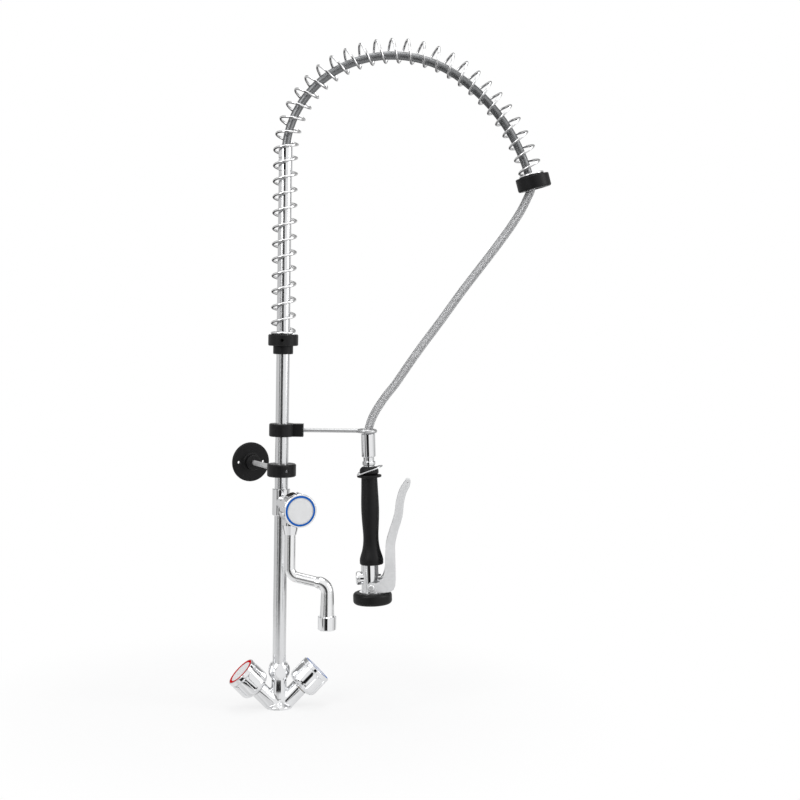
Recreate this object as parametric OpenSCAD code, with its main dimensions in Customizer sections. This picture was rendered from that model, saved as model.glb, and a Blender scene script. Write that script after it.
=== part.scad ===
// Pre rinse faucet: a deck mixer that carries a riser with a side tap, a wall bracket, a gun holder
// and a sprung overhead hose with a squeeze spray gun.
// Millimetres, +Z up. The origin is the middle of the mixer's underside. The hot and cold controls
// lie along X, hot at -X, and the wall is towards +Y.

/* [Riser] */
// Outer diameter of the riser tubes
riser_d = 20; // [18:0.5:22]
// Wall of the riser tubes
riser_wall = 1.5; // [1:0.1:2]
// Height of the riser's top end above the deck
riser_top = 804; // [780:1:840]

/* [Deck mixer] */
// Diameter of the foot
foot_d = 41; // [40:0.5:50]
// Thickness of the foot's straight rim
foot_t = 3; // [2:0.5:6]
// Diameter of the central stem
stem_d = 23; // [22:0.5:27]
// Height of the stem up to the union nut
stem_h = 43.5; // [40:0.5:55]
// Length of the thread that the union nut runs on
spigot_h = 12; // [8:0.5:13]
// Diameter of the two arms
arm_d = 26; // [24:0.5:27]
// Angle of each arm from the vertical
arm_angle = 45; // [42:1:50]
// Length of each arm along its own axis
arm_len = 43.5; // [42:0.5:50]
// Thread diameter of the deck stud's hole
stud_d = 8.5; // [6.8:0.1:9]
// Thread diameter of each inlet
inlet_d = 9; // [8:0.1:9.5]
// Distance of each inlet from the stud
inlet_x = 12.5; // [11:0.5:13]

/* [Union nut] */
// Widest diameter of the nut's barrel
nut_d = 32.4; // [31:0.2:38]
// Height of the nut
nut_h = 24; // [23:0.5:28]
// Distance across the nut's flats
nut_flats = 28.4; // [28:0.2:31]

/* [Control knobs] */
// Largest diameter of a knob, over its lobes
knob_d = 48.6; // [47:0.2:54]
// Length of a knob along its axis
knob_len = 38; // [36:0.5:44]
// How far the lobes stand out of the barrel
lobe_rise = 1.7; // [0.8:0.1:2]
// Number of lobes round a knob
lobe_count = 8; // [5:1:9]
// Width of a lobe
lobe_w = 12.4; // [8:0.2:13]
// Outer diameter of the coloured index ring
index_d = 44; // [42:0.5:44.5]
// Width of the coloured index ring
index_w = 3.6; // [2.5:0.1:5]
// Diameter of the ceramic cartridge
cartridge_d = 17; // [14:0.5:17.5]
// Depth of the cartridge in its bore
cartridge_depth = 19.5; // [16:0.5:20]
// Diameter of the spindle
spindle_d = 8; // [7:0.5:9]

/* [Side tap] */
// Height of the tap's axis above the deck
tap_h = 308; // [290:1:330]
// Turn of the tap on the riser, from square to the wall
tap_turn = 7; // [-20:1:20]
// Diameter of the sleeve on the riser
sleeve_d = 26.6; // [25:0.2:32]
// Height of the sleeve
sleeve_h = 39.6; // [36:0.2:48]
// Distance from the riser's axis to the seat of the tap's control
tap_reach = 65.5; // [65:0.5:75]
// Distance from the riser's axis to the spout's axis
spout_out = 53; // [48:0.5:53]
// Diameter of the valve chamber over the spout
chamber_d = 25; // [23:0.5:25]
// Length of the funnel from the tap's axis down to its mouth
funnel_drop = 41; // [39:0.5:48]

/* [Spout] */
// Outer diameter of the spout's tube
spout_d = 15.6; // [14:0.2:17]
// Wall of the spout's tube
spout_wall = 1.3; // [1:0.1:1.8]
// Direction of the spout, from +X
spout_turn = -25; // [-60:1:60]
// Visible length of the spout's upright below the funnel
spout_upright = 49; // [35:1:70]
// Horizontal distance from the spout's upright to its outlet
spout_run = 57; // [45:1:60]
// Fall of the middle stretch below the horizontal, in degrees
spout_fall = 10; // [0:1:20]
// Bend radius on the tube's centre line
spout_bend = 14; // [12:0.5:18]
// Length of the spout's nose, from the last bend to the aerator
spout_nose = 33.5; // [26:0.5:45]
// Diameter of the wide last bend
elbow_d = 18.4; // [18:0.2:20]
// Diameter of the thread on the spout's nose
nose_d = 21; // [20:0.2:22]
// Outer diameter of the aerator
aerator_d = 27; // [26:0.2:30]
// Height of the aerator
aerator_h = 20.4; // [19:0.2:26]

/* [Wall bracket] */
// Height of the bracket's rod above the side tap's axis
wall_rise = 47.5; // [42:0.5:60]
// Turn of the bracket, from straight back
wall_turn = 15; // [-25:1:25]
// Distance from the riser's axis to the wall
wall_reach = 124; // [90:1:200]
// Diameter of the clamp ring on the riser
wall_clamp_d = 43.4; // [38:0.2:50]
// Height of both clamp rings on the riser
clamp_h = 19; // [14:0.5:20]
// Diameter of the bracket's rod
wall_rod_d = 7.8; // [6:0.2:10]
// Diameter of the wall flange
flange_d = 61.4; // [58:0.2:80]
// Thickness of the wall flange
flange_t = 5; // [4:0.5:8]
// Distance between the flange's two screw holes
flange_pitch = 41; // [38:0.5:44]
// Diameter of the flange's screw holes
flange_hole_d = 4.5; // [3.5:0.1:5.5]

/* [Gun holder] */
// Height of the holder's rod above the deck
holder_h = 415.7; // [412:0.1:418]
// Diameter of the holder's clamp ring
holder_clamp_d = 39; // [36:0.2:46]
// Distance from the riser's axis to the end of the clamp's block
holder_block_x = 32; // [29:0.5:40]
// Width of the clamp's block
holder_block_w = 15; // [12:0.5:20]
// Diameter of the holder's rod
holder_rod_d = 6; // [5:0.1:6.2]
// Inner diameter of the eye that holds the hose
eye_d = 18.4; // [17.4:0.2:19.4]

/* [Overhead] */
// Direction of the overhead hose and the gun, from +X
overhead_turn = -13; // [-40:1:20]
// Height of the foot of the spring collar
collar_h = 529.5; // [500:0.5:560]
// Diameter and height of the collar's lower step
collar_step = [30, 12.5]; // [12:0.5:40]
// Diameter and height of the collar's upper part
collar_top = [45, 17]; // [15:0.5:50]
// Outer diameter of the spring
spring_d = 38.2; // [36:0.2:42]
// Diameter of the spring's wire
spring_wire = 3.75; // [3:0.05:4.2]
// Number of turns of the spring, with the closed turn at each end
spring_turns = 38; // [34:1:42]
// Pitch of the spring on its straight leg
spring_pitch = 23.6; // [22.6:0.1:24.6]
// Height of the straight leg above the riser's end
arch_rise = 24; // [20:1:30]
// Diameter and length of the cap on the spring's end
end_cap = [50.8, 20]; // [16:0.2:56]
// Bore of the cap on the spring's end
end_cap_bore = 30; // [28:0.5:32]

/* [Hose] */
// Outer diameter of the braided hose
hose_d = 12.5; // [11:0.1:13]
// Diameter of the nut that joins the hose to the riser
hose_nut_d = 21.2; // [20.8:0.1:24]
// Length of the nut that joins the hose to the riser
hose_nut_h = 36; // [32:0.5:40]

/* [Spray gun] */
// Distance from the riser's axis to the gun's swivel
gun_x = 129; // [126:0.5:132]
// How far the top of the gun's swivel sleeve lies below the holder's rod
gun_drop = 3.7; // [3.5:0.1:7]
// Lean of the gun's axis, in degrees
gun_lean = 2.3; // [0:0.1:4]
// Diameter of the swivel sleeve
gun_sleeve_d = 21.3; // [20:0.1:24]
// Length of the swivel sleeve
gun_sleeve_h = 35; // [32:0.5:38]
// Outer diameter of the tube inside the grip
gun_tube_d = 15; // [13:0.2:16]
// Widest diameter of the grip's waist
grip_d = 26.9; // [25:0.1:28]
// Diameter of the grip's lower flare
flare_d = 35.4; // [32:0.2:36]
// Diameter of the rim at the top of the grip
rim_d = 36.8; // [34:0.2:38]
// Diameter of the valve body
valve_d = 26; // [25:0.2:27]
// Offset of the valve body towards the riser
valve_shift = 3; // [1:0.5:4]
// Diameter of the round cap behind the valve
valve_cap_d = 20; // [18:0.2:22]
// Diameter of the bumper
bumper_d = 58.4; // [54:0.2:66]
// Height of the bumper
bumper_h = 17.5; // [16:0.5:26]
// Radius of the bumper's rounded rims
bumper_round = 5; // [2:0.5:7]
// Number of jets in the outer ring of the spray face
jet_count = 12; // [8:1:16]

/* [Lever] */
// Distance between the inner faces of the fork
fork_gap = 30; // [28:0.2:31]
// Thickness of each ear of the fork
ear_t = 3.5; // [2.5:0.1:4.5]
// Diameter of the pivot screws
pivot_d = 6; // [5:0.1:7]
// Wall of the lever's channel
lever_wall = 2.6; // [2:0.1:3.5]

/* [Hold ring] */
// Diameter of the hold ring's wire
ring_wire = 2; // [1.5:0.1:2.4]
// Inner length of the hold ring
ring_len = 37; // [36:0.5:40]

/* [Fits] */
// Radial clearance of a running fit
run_fit = 0.05; // [0.03:0.01:0.1]
// Clearance between faces that pass each other
gap = 0.3; // [0.2:0.05:0.5]

/* [Hidden] */
$fn = 72;

chrome = [0.80, 0.81, 0.83];
steel = [0.70, 0.71, 0.73];
brass = [0.72, 0.58, 0.30];
black = [0.08, 0.08, 0.09];
rubber = [0.05, 0.05, 0.05];
cap_grey = [0.72, 0.73, 0.74];
cast_grey = [0.80, 0.81, 0.81];
red = [0.80, 0.06, 0.10];
blue = [0.30, 0.32, 0.75];
white_plastic = [0.90, 0.90, 0.88];

cut = 1;                 // how far a cutting shape runs past the face that it opens
soft_edge = 0.8;         // chamfer on the turned parts
hex_round = 1 / cos(30); // corner radius of a hexagon whose flats are 1 from its axis

// Riser
riser_bore = riser_d - 2 * riser_wall;
collar_t = 4;            // thickness of the collar on the lower riser's foot
gasket_t = 2;

// Deck mixer
arm_root = -2;           // height where the arms' axes meet
stud_depth = 14;
inlet_depth = [13, 12];  // hot, cold: staggered, so that both tails' hexagons clear each other
web = 4;                 // metal between the stud's hole and the mixing chamber
seal_groove = [foot_d - 6, 2];
mix_bore = 14;

// Controls, each in a frame whose z = 0 is the seat that the knob turns over
control_gap = 0.5;
knob_mouth = arm_d + 2.4;
barrel_d = knob_d - 2 * lobe_rise;
knob_wall = 3.4;
web_z = 23;
web_t = 4;
hub_d = 14;
neck_z = 9;
drive = 5.6;             // side of the square drive on a spindle
drive_len = 12;
index_t = 2.2;
cap_t = 3.4;
cap_d = index_d - 2 * index_w;
hex_flange = [19, 5];
screw_d = 4.2;
screw_head = [9, 3];

// Side tap
riser_socket = 15;
funnel_mouth = spout_d + 2.2;
funnel_cone = 14;
stub_len = 23;           // the part of the spout inside the funnel
retainer = [3, 1];       // height of the retaining ring and its reach into each groove

// Spout
spout_foot = tap_h - funnel_drop - spout_upright;
spout_bore = spout_d - 2 * spout_wall;
bend_turn = 90 - spout_fall;
bend_x = spout_bend * (1 - sin(spout_fall));
bend_z = spout_bend * cos(spout_fall);
run_x = spout_run - 2 * bend_x;
run_len = run_x / cos(spout_fall);
last_bend_z = spout_foot - 2 * bend_z - run_x * tan(spout_fall);
aerator_top = last_bend_z - spout_nose;
nose_len = 10;
bend_draw = 0.1;
bend_lap = 0.3;
elbow_cone = 6;          // length over which the tube widens before its last bend

// Clamps
wall_h = tap_h + wall_rise;
set_screw = [5, 7];
clamp_bore = riser_d + 2 * run_fit;
rod_seat = riser_d / 2 + 2;
hub = [24, 12];          // diameter and length of the hub behind the wall flange

// Holder eye and the gun below it
gun_z = holder_h - gun_drop;
eye_x = gun_x - 1.6;
eye_r = (eye_d + holder_rod_d) / 2;

// Overhead centre line: a straight leg up the riser, then three arcs that join smoothly. It lies in
// the plane of the overhead and is measured from the top of the spring collar.
collar_face = collar_h + collar_step[1] + collar_top[1];
leg_len = riser_top + arch_rise - collar_face;
arc_r = [156, 170, 276];
arc_turn = [56, 69, 40];
arc_len = [for (i = [0:2]) arc_r[i] * arc_turn[i] * PI / 180];
arch_len = leg_len + arc_len[0] + arc_len[1] + arc_len[2];
leg_end = [0, collar_face + leg_len];
up = 90;                 // heading of the straight leg
arc_head = [up, up - arc_turn[0], up - arc_turn[0] - arc_turn[1]];
arc_join = arc_point(leg_end, up, 0, arc_turn[0]);
arc_start = [leg_end, arc_join, arc_point(arc_join, arc_head[1], 1, arc_turn[1])];
spring_r = (spring_d - spring_wire) / 2;

// Hose inside the spring: it leaves its nut straight and hangs to the inside of the arch by up to
// this much
hose_sag = 5.7;
hose_end_shift = 4;
hose_socket = 6;         // depth of the socket that holds each end of the hose
hose_play = 1.4;         // room that the nut's socket leaves, because the hose bends in it
hose_start = riser_top + hose_nut_h - hose_socket + 3 * gap;
hose_sides = 10;

// Route of the free hose, in the plane of the overhead, between these places of the spring's end
// and of the gun's swivel. It follows both when they move.
route_from = [369.625, 800.997];
route_to = [129, 412];
hose_route = [
    [368.9, 785], [368, 778.5], [364.4, 770], [355, 750.5], [340, 726], [316, 692],
    [286, 652], [263, 621], [235, 581], [208, 544], [188, 515], [170, 488], [155, 468.5],
    [143, 450.5], [134.8, 435], [130.6, 422], [129.2, 413], [129.3, 406]
];

// Spray gun, measured down its own axis from the top of the swivel sleeve
swivel_len = 15;
neck_d = 16.5;
neck_flange = [20, 6];
neck_z0 = gun_sleeve_h + gap;
neck_z1 = neck_z0 + 6;
grip_z = 49.2;
bulb_r = 14.3;           // radius of the bulb at the top of the grip
bulb_foot = 58.4;
grip_end = 196;
rim_z = 62;
tube_seat = 8;
valve_z = grip_end + 0.3;
stem_z = 216.5;
pivot_z = 228.5;
pivot_a = -1;
head_z = 236.5;
bumper_z = head_z + 1;
face_t = 1.5;            // room for the spray face under the head
head_d = 39;
head_wall = 3;
head_floor = 4;          // from the bumper's foot up to the ledge under the spray head
head_len = bumper_z + bumper_h - head_floor - face_t - head_z;
stem_d2 = 5;
seat_a = -3;
cap_a = 17.5;
cap_len = 6.6;
cap_skin = 2;
stem_reach = 32.5;

// The lever's channel: distance down the gun, distance out, depth and half width at each station
lever_line = [
    [71.5, 57.6, 6, 8], [77, 56.2, 10, 9], [88, 49.8, 11.2, 9.5], [104, 45, 12, 10],
    [124, 42, 12.6, 10], [145, 35, 12.6, 10.5], [165, 29.4, 13.8, 13], [185, 28, 15.4, 17.5],
    [200, 28, 15.4, fork_gap / 2 + ear_t]
];
tip = [57.4, 73.5];
tip_r = 4.4;
tip_hole = 3;
yoke_outline = [
    [20.3, 197], [35.7, 197], [35.7, 216], [34.6, 226], [32, 232], [27, 235], [18, 235.8],
    [pivot_a, pivot_z + 7], [pivot_a, pivot_z - 7], [7, 221.5], [12.5, 219], [16.4, 214],
    [18.8, 207]
];

// ---------------------------------------------------------------------------------------------
// Functions

// Point reached after turning by `turn` on arc `i`, from `from` with heading `head`
function arc_point(from, head, i, turn) =
    from + arc_r[i] * [sin(head) - sin(head - turn), cos(head - turn) - cos(head)];

// Point and heading of the overhead centre line at length s
function arch_at(s) =
    s <= leg_len ? [0, collar_face + s, up] :
    s <= leg_len + arc_len[0] ? on_arc(0, s - leg_len) :
    s <= leg_len + arc_len[0] + arc_len[1] ? on_arc(1, s - leg_len - arc_len[0]) :
    s <= arch_len ? on_arc(2, s - leg_len - arc_len[0] - arc_len[1]) :
    past_end(s - arch_len);
function on_arc(i, along) =
    let (turn = along / arc_r[i] * 180 / PI, p = arc_point(arc_start[i], arc_head[i], i, turn))
    [p[0], p[1], arc_head[i] - turn];
function past_end(along) =
    let (p = on_arc(2, arc_len[2])) [p[0] + along * cos(p[2]), p[1] + along * sin(p[2]), p[2]];

// The same place in space, moved by `out` towards the outside of the arch and `side` across it
function arch_xyz(s, out, side) =
    let (p = arch_at(s)) [p[0] - out * sin(p[2]), side, p[1] + out * cos(p[2])];

// A smooth line through the points p, with n steps between each two
function smooth(p, n) = concat(
    [for (i = [0:len(p) - 2], k = [0:n - 1])
        catmull(p[max(i - 1, 0)], p[i], p[i + 1], p[min(i + 2, len(p) - 1)], k / n)],
    [p[len(p) - 1]]);
function catmull(a, b, c, d, t) =
    0.5 * (2 * b + (c - a) * t + (2 * a - 5 * b + 4 * c - d) * t * t
        + (3 * b - a - 3 * c + d) * t * t * t);

// Points along an arc in the plane
function arc(centre, r, from, to, n = 6) =
    [for (k = [0:n]) let (t = from + (to - from) * k / n) centre + r * [cos(t), sin(t)]];

function unit(v) = v / norm(v);

// Direction of a path of points at its point i
function along(path, i) = unit(path[min(i + 1, len(path) - 1)] - path[max(i - 1, 0)]);

// ---------------------------------------------------------------------------------------------
// Building blocks

// A turned cylinder with chamfered rims
module turned(d, h, c = soft_edge) {
    rotate_extrude() polygon([[0, 0], [d / 2 - c, 0], [d / 2, c], [d / 2, h - c],
        [d / 2 - c, h], [0, h]]);
}

// A flat ring or a length of tube
module ring(outer, inner, h) {
    difference() {
        cylinder(d = outer, h = h);
        translate([0, 0, -cut]) cylinder(d = inner, h = h + 2 * cut);
    }
}

// A hexagon socket cut in the top of a screw whose head ends at z = 0
module hex_socket(flats, depth) {
    translate([0, 0, -depth]) cylinder(r = flats / 2 * hex_round, h = depth + cut, $fn = 6);
}

// A tube skinned over a path, with each ring's first point towards its direction in `lead`
module skin_tube(path, lead, d, sides) {
    n = len(path);
    rings = [for (i = [0:n - 1])
        let (t = along(path, i), a = unit(lead[i] - t * (lead[i] * t)), b = cross(t, a))
        for (j = [0:sides - 1]) path[i] + d / 2 * (a * cos(360 * j / sides) + b * sin(360 * j / sides))];
    walls = [for (i = [0:n - 2], j = [0:sides - 1])
        let (p = i * sides + j, q = i * sides + (j + 1) % sides)
        each [[p, q + sides, q], [p, p + sides, q + sides]]];
    first = [for (j = [1:sides - 2]) [0, j, j + 1]];
    top = (n - 1) * sides;
    last = [for (j = [1:sides - 2]) [top, top + j + 1, top + j]];
    polyhedron(points = rings, faces = concat(walls, first, last), convexity = 10);
}

module overhead() { rotate([0, 0, overhead_turn]) children(); }
module at_tap() { rotate([0, 0, tap_turn]) translate([0, 0, tap_h]) children(); }
module at_wall() { rotate([0, 0, wall_turn]) translate([0, 0, wall_h]) children(); }
module at_spout() {
    rotate([0, 0, tap_turn]) translate([0, -spout_out, 0]) rotate([0, 0, spout_turn - tap_turn])
        children();
}
module at_arm(side) { translate([0, 0, arm_root]) rotate([0, side * arm_angle, 0]) children(); }
module at_end_cap() {
    end = arch_at(arch_len);
    overhead() translate([end[0], 0, end[1]]) rotate([0, 90 - end[2], 0]) children();
}
module gun() { overhead() translate([gun_x, 0, gun_z]) rotate([0, -gun_lean, 0]) children(); }

// Down the gun's axis by z
module down(z) { translate([0, 0, -z]) children(); }

// Across the gun at the height z, with +Z pointing away from the riser
module across(z) { translate([0, 0, -z]) rotate([0, 90, 0]) children(); }

// Seats of the three controls: which is "hot", "cold" or "tap"
module at_control(which) {
    if (which == "tap") at_tap() rotate([90, 0, 0]) translate([0, 0, tap_reach]) children();
    else at_arm(which == "hot" ? -1 : 1) translate([0, 0, arm_len]) children();
}

// ---------------------------------------------------------------------------------------------
// Controls: the same six pieces at each of the three seats

module cartridge(which) {
    color(brass) at_control(which) difference() {
        union() {
            translate([0, 0, -cartridge_depth]) cylinder(d = cartridge_d, h = cartridge_depth);
            cylinder(r = hex_flange[0] / 2 * hex_round, h = hex_flange[1], $fn = 6);
            cylinder(d = spindle_d + 5, h = neck_z);
        }
        translate([0, 0, -8]) cylinder(d = spindle_d + 2 * run_fit, h = 8 + neck_z + cut);
        translate([4, 0, -cartridge_depth - cut]) cylinder(d = 6, h = 9 + cut);
        translate([0, 0, 5 - cartridge_depth]) rotate([0, -90, 0]) cylinder(d = 6, h = cartridge_d);
    }
}

module spindle(which) {
    color(brass) at_control(which) difference() {
        union() {
            translate([0, 0, gap - 8]) cylinder(d = spindle_d, h = 8 - gap + neck_z + gap);
            translate([-drive / 2, -drive / 2, neck_z]) cube([drive, drive, drive_len]);
        }
        translate([0, 0, neck_z + drive_len - 9]) cylinder(d = screw_d - 0.6, h = 9 + cut);
    }
}

// Outline of the knob's barrel, from its mouth over the shoulder to the bevel round the index ring
function knob_outline(r, rim) = concat(
    [[knob_mouth / 2, 0]],
    arc([r - 9, 9], 9, -62, 0),
    [[r, rim - 2.5]],
    arc([knob_d / 2 - 1.2, rim], 1.2, -45, 0, 3),
    arc([knob_d / 2 - 1.6, knob_len - 1.6], 1.6, 0, 60, 3),
    [[index_d / 2 + 0.05, knob_len], [0, knob_len], [0, 0]]);

module knob(which) {
    front = knob_len;
    color(chrome) at_control(which) translate([0, 0, control_gap]) difference() {
        union() {
            rotate_extrude() polygon(knob_outline(barrel_d / 2, front - 5.5));
            intersection() {
                rotate_extrude() polygon(concat(
                    [[0, 1.5], [knob_d / 2 - 8, 1.5]], arc([knob_d / 2 - 9, 10], 9, -70, 0),
                    arc([knob_d / 2 - 1.6, front - 8], 1.6, 0, 90, 4), [[0, front - 6.4]]));
                for (i = [0:lobe_count - 1]) rotate([0, 0, 360 * (i + 0.5) / lobe_count])
                    lobe_prism(front - 7 - lobe_w / 2);
            }
        }
        // the hollow under the shoulder, round the hub
        difference() {
            rotate_extrude() polygon([[0, -cut], [knob_mouth / 2, -cut], [knob_mouth / 2, 2],
                [barrel_d / 2 - knob_wall, 8], [barrel_d / 2 - knob_wall, web_z], [0, web_z]]);
            translate([0, 0, neck_z + gap]) cylinder(d = hub_d, h = web_z);
        }
        // the square drive, the screw hole and the pocket behind the cap
        translate([-drive / 2 - run_fit, -drive / 2 - run_fit, 0])
            cube([drive + 2 * run_fit, drive + 2 * run_fit, neck_z + drive_len]);
        cylinder(d = screw_d + 0.6, h = front);
        translate([0, 0, web_z + web_t]) cylinder(d = cap_d - 7, h = front);
        translate([0, 0, front - cap_t - 0.4]) cylinder(d = cap_d + 0.1, h = front);
        translate([0, 0, front - index_t]) cylinder(d = index_d + 0.1, h = front);
    }
}

// A lobe's outline pushed out sideways: straight sides and a round front end
module lobe_prism(end) {
    rotate([90, 0, 0]) linear_extrude(knob_d) {
        translate([-lobe_w / 2, 0]) square([lobe_w, end]);
        translate([0, end]) circle(d = lobe_w);
    }
}

module index_ring(which, tint) {
    color(tint) at_control(which) translate([0, 0, control_gap + knob_len - index_t])
        rotate_extrude() polygon([[cap_d / 2 + 0.1, 0], [index_d / 2, 0],
            [index_d / 2, index_t - 0.2], [index_d / 2 - 0.5, index_t + 0.3],
            [cap_d / 2 + 0.4, index_t + 0.3], [cap_d / 2 + 0.1, index_t]]);
}

module knob_cap(which) {
    color(cap_grey) at_control(which) translate([0, 0, control_gap + knob_len - cap_t - 0.4])
        turned(cap_d, cap_t, 0.4);
}

module knob_screw(which) {
    color(steel) at_control(which) translate([0, 0, control_gap + web_z + web_t]) difference() {
        union() {
            turned(screw_head[0], screw_head[1], 0.4);
            translate([0, 0, -13]) cylinder(d = screw_d - 0.7, h = 13);
        }
        translate([0, 0, screw_head[1]]) hex_socket(3, 2);
    }
}

// ---------------------------------------------------------------------------------------------
// Deck mixer

module base_body() {
    color(chrome) difference() {
        union() {
            cylinder(d = foot_d, h = foot_t);
            translate([0, 0, foot_t])
                cylinder(d1 = foot_d, d2 = stem_d, h = (foot_d - stem_d) / 2);
            cylinder(d = stem_d, h = stem_h + spigot_h);
            for (side = [-1, 1]) at_arm(side) cylinder(d = arm_d, h = arm_len);
        }
        // everything below the deck face
        translate([0, 0, -2 * foot_d]) cylinder(d = 4 * foot_d, h = 2 * foot_d);
        // mixing chamber up the stem
        translate([0, 0, stud_depth + web]) cylinder(d = mix_bore, h = stem_h + spigot_h);
        for (side = [-1, 1]) {
            at_arm(side) translate([0, 0, arm_len - cartridge_depth])
                cylinder(d = cartridge_d + 2 * run_fit, h = cartridge_depth + cut);
            at_arm(side) translate([0, 0, arm_len - cartridge_depth + 5])
                rotate([0, -side * (90 + arm_angle - 30), 0]) cylinder(d = 7, h = arm_len / 2);
            translate([side * inlet_x, 0, -cut])
                cylinder(d = inlet_d, h = inlet_depth[side < 0 ? 0 : 1] + cut);
        }
        translate([0, 0, -cut]) cylinder(d = stud_d, h = stud_depth + cut);
        // groove of the foot seal
        translate([0, 0, -cut]) ring(seal_groove[0] + 2 * seal_groove[1], seal_groove[0],
            seal_groove[1] + cut);
    }
}

module base_seal() {
    color(rubber) ring(seal_groove[0] + 2 * seal_groove[1] - 0.2, seal_groove[0] + 0.2,
        seal_groove[1]);
}

module column_nut() {
    inner = stem_d + 0.2;
    seat = spigot_h + gasket_t + collar_t + 0.1;
    barrel = 20;
    lean = asin(nut_h / 2 / barrel);
    color(chrome) translate([0, 0, stem_h]) difference() {
        intersection() {
            rotate_extrude() polygon(concat([[0, 0]],
                arc([nut_d / 2 - barrel, nut_h / 2], barrel, -lean, lean, 8), [[0, nut_h]]));
            cylinder(r = nut_flats / 2 * hex_round, h = nut_h, $fn = 6);
        }
        translate([0, 0, -cut]) cylinder(d = inner, h = seat + cut);
        cylinder(d = riser_d + 0.2, h = nut_h + cut);
    }
}

module column_gasket() {
    color(rubber) translate([0, 0, stem_h + spigot_h]) ring(stem_d - 0.6, riser_bore, gasket_t);
}

module lower_riser() {
    foot = stem_h + spigot_h + gasket_t;
    color(chrome) translate([0, 0, foot]) difference() {
        union() {
            cylinder(d = stem_d - 0.2, h = collar_t);
            cylinder(d = riser_d, h = tap_h - sleeve_h / 2 + riser_socket - foot);
        }
        translate([0, 0, -cut]) cylinder(d = riser_bore, h = tap_h);
    }
}

module upper_riser() {
    foot = tap_h + sleeve_h / 2 - riser_socket;
    thread = 10;
    color(chrome) translate([0, 0, foot]) difference() {
        union() {
            cylinder(d = riser_d, h = riser_top - foot);
            cylinder(d = riser_bore - 0.6, h = riser_top - foot + thread);
            cylinder(d = riser_bore, h = riser_top - foot);
        }
        translate([0, 0, -cut]) cylinder(d = riser_bore - 3, h = riser_top);
        translate([0, 0, -cut]) cylinder(d = riser_bore, h = riser_top - foot - 12);
    }
}

// ---------------------------------------------------------------------------------------------
// Side tap and spout

module tap_body() {
    socket_d = spout_d + 2 * run_fit;
    mouth = -funnel_drop;
    color(chrome) at_tap() difference() {
        union() {
            translate([0, 0, -sleeve_h / 2]) turned(sleeve_d, sleeve_h);
            rotate([90, 0, 0]) cylinder(d = chamber_d - 5, h = spout_out);
            translate([0, -spout_out, 0]) {
                sphere(d = chamber_d);
                translate([0, 0, mouth + funnel_cone]) cylinder(d = chamber_d,
                    h = -mouth - funnel_cone);
                translate([0, 0, mouth]) cylinder(d1 = funnel_mouth, d2 = chamber_d,
                    h = funnel_cone);
            }
            translate([0, -spout_out, 0]) rotate([90, 0, 0])
                cylinder(d = arm_d - 1, h = tap_reach - spout_out);
        }
        for (end = [0, 1]) mirror([0, 0, end]) translate([0, 0, sleeve_h / 2 - riser_socket])
            cylinder(d = riser_d + 2 * run_fit, h = riser_socket + cut);
        translate([0, 0, -sleeve_h / 2]) cylinder(d = riser_bore, h = sleeve_h);
        rotate([90, 0, 0]) cylinder(d = 9, h = spout_out);
        translate([0, -tap_reach, 0]) rotate([-90, 0, 0]) translate([0, 0, -cut])
            cylinder(d = cartridge_d + 2 * run_fit, h = cartridge_depth + cut);
        translate([0, -spout_out, mouth - cut]) cylinder(d = socket_d, h = stub_len + 0.5 + cut);
        translate([0, -spout_out, mouth]) cylinder(d = 8, h = -mouth);
        // groove of the ring that retains the spout
        translate([0, -spout_out, mouth + 5])
            cylinder(d = socket_d + 2 * retainer[1], h = retainer[0]);
    }
}

// The bend below an upright end at the origin. Bending draws the tube in a little, and each
// straight length laps over the bend's end.
module spout_bend(d) {
    translate([spout_bend, 0, 0]) rotate([90, 0, 0]) rotate([0, 0, 180])
        rotate_extrude(angle = bend_turn) translate([spout_bend, 0]) circle(d = d - bend_draw);
    translate([0, 0, -bend_lap]) cylinder(d = d, h = bend_lap);
}

// The spout from its stub down to its nose: a tube of the diameter d that widens to `elbow` before
// its last bend and to `nose` below it, and runs on by `thread`. Its z = 0 is the upright's foot.
module spout_path(d, elbow, nose, thread) {
    cylinder(d = d, h = spout_upright + stub_len);
    spout_bend(d);
    translate([bend_x, 0, -bend_z]) rotate([0, 90 + spout_fall, 0]) translate([0, 0, -bend_lap])
        cylinder(d = d, h = run_len + 2 * bend_lap);
    translate([bend_x, 0, -bend_z]) rotate([0, 90 + spout_fall, 0])
        translate([0, 0, run_len - elbow_cone]) {
            cylinder(d1 = d, d2 = elbow, h = elbow_cone);
            translate([0, 0, elbow_cone - cut / 2]) cylinder(d = elbow, h = cut / 2 + bend_lap);
        }
    translate([spout_run, 0, last_bend_z - spout_foot]) rotate([0, 180, 0]) {
        spout_bend(elbow);
        cylinder(d1 = elbow, d2 = nose, h = spout_nose);
        translate([0, 0, spout_nose]) cylinder(d = nose, h = thread);
    }
}

module spout() {
    stub_bore = spout_d - 6;
    color(chrome) at_spout() translate([0, 0, spout_foot]) difference() {
        spout_path(spout_d, elbow_d, nose_d, nose_len);
        // the stub keeps a thick wall for its two grooves
        difference() {
            spout_path(spout_bore, elbow_d - 4, nose_d - 5, nose_len + cut);
            translate([0, 0, spout_upright]) ring(spout_d, stub_bore, stub_len + cut);
        }
        translate([0, 0, spout_upright]) cylinder(d = stub_bore, h = stub_len + cut);
        for (groove = [[5 - 0.15, retainer[0] + 0.3, retainer[1] + run_fit], [14, 2, 1.5]])
            translate([0, 0, spout_upright + groove[0]])
                ring(spout_d + 2, spout_d - 2 * groove[2], groove[1]);
    }
}

module spout_o_ring() {
    color(rubber) at_spout() translate([0, 0, spout_foot + spout_upright + 15])
        rotate_extrude() translate([spout_d / 2 - 0.75, 0]) circle(d = 1.4, $fn = 24);
}

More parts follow.
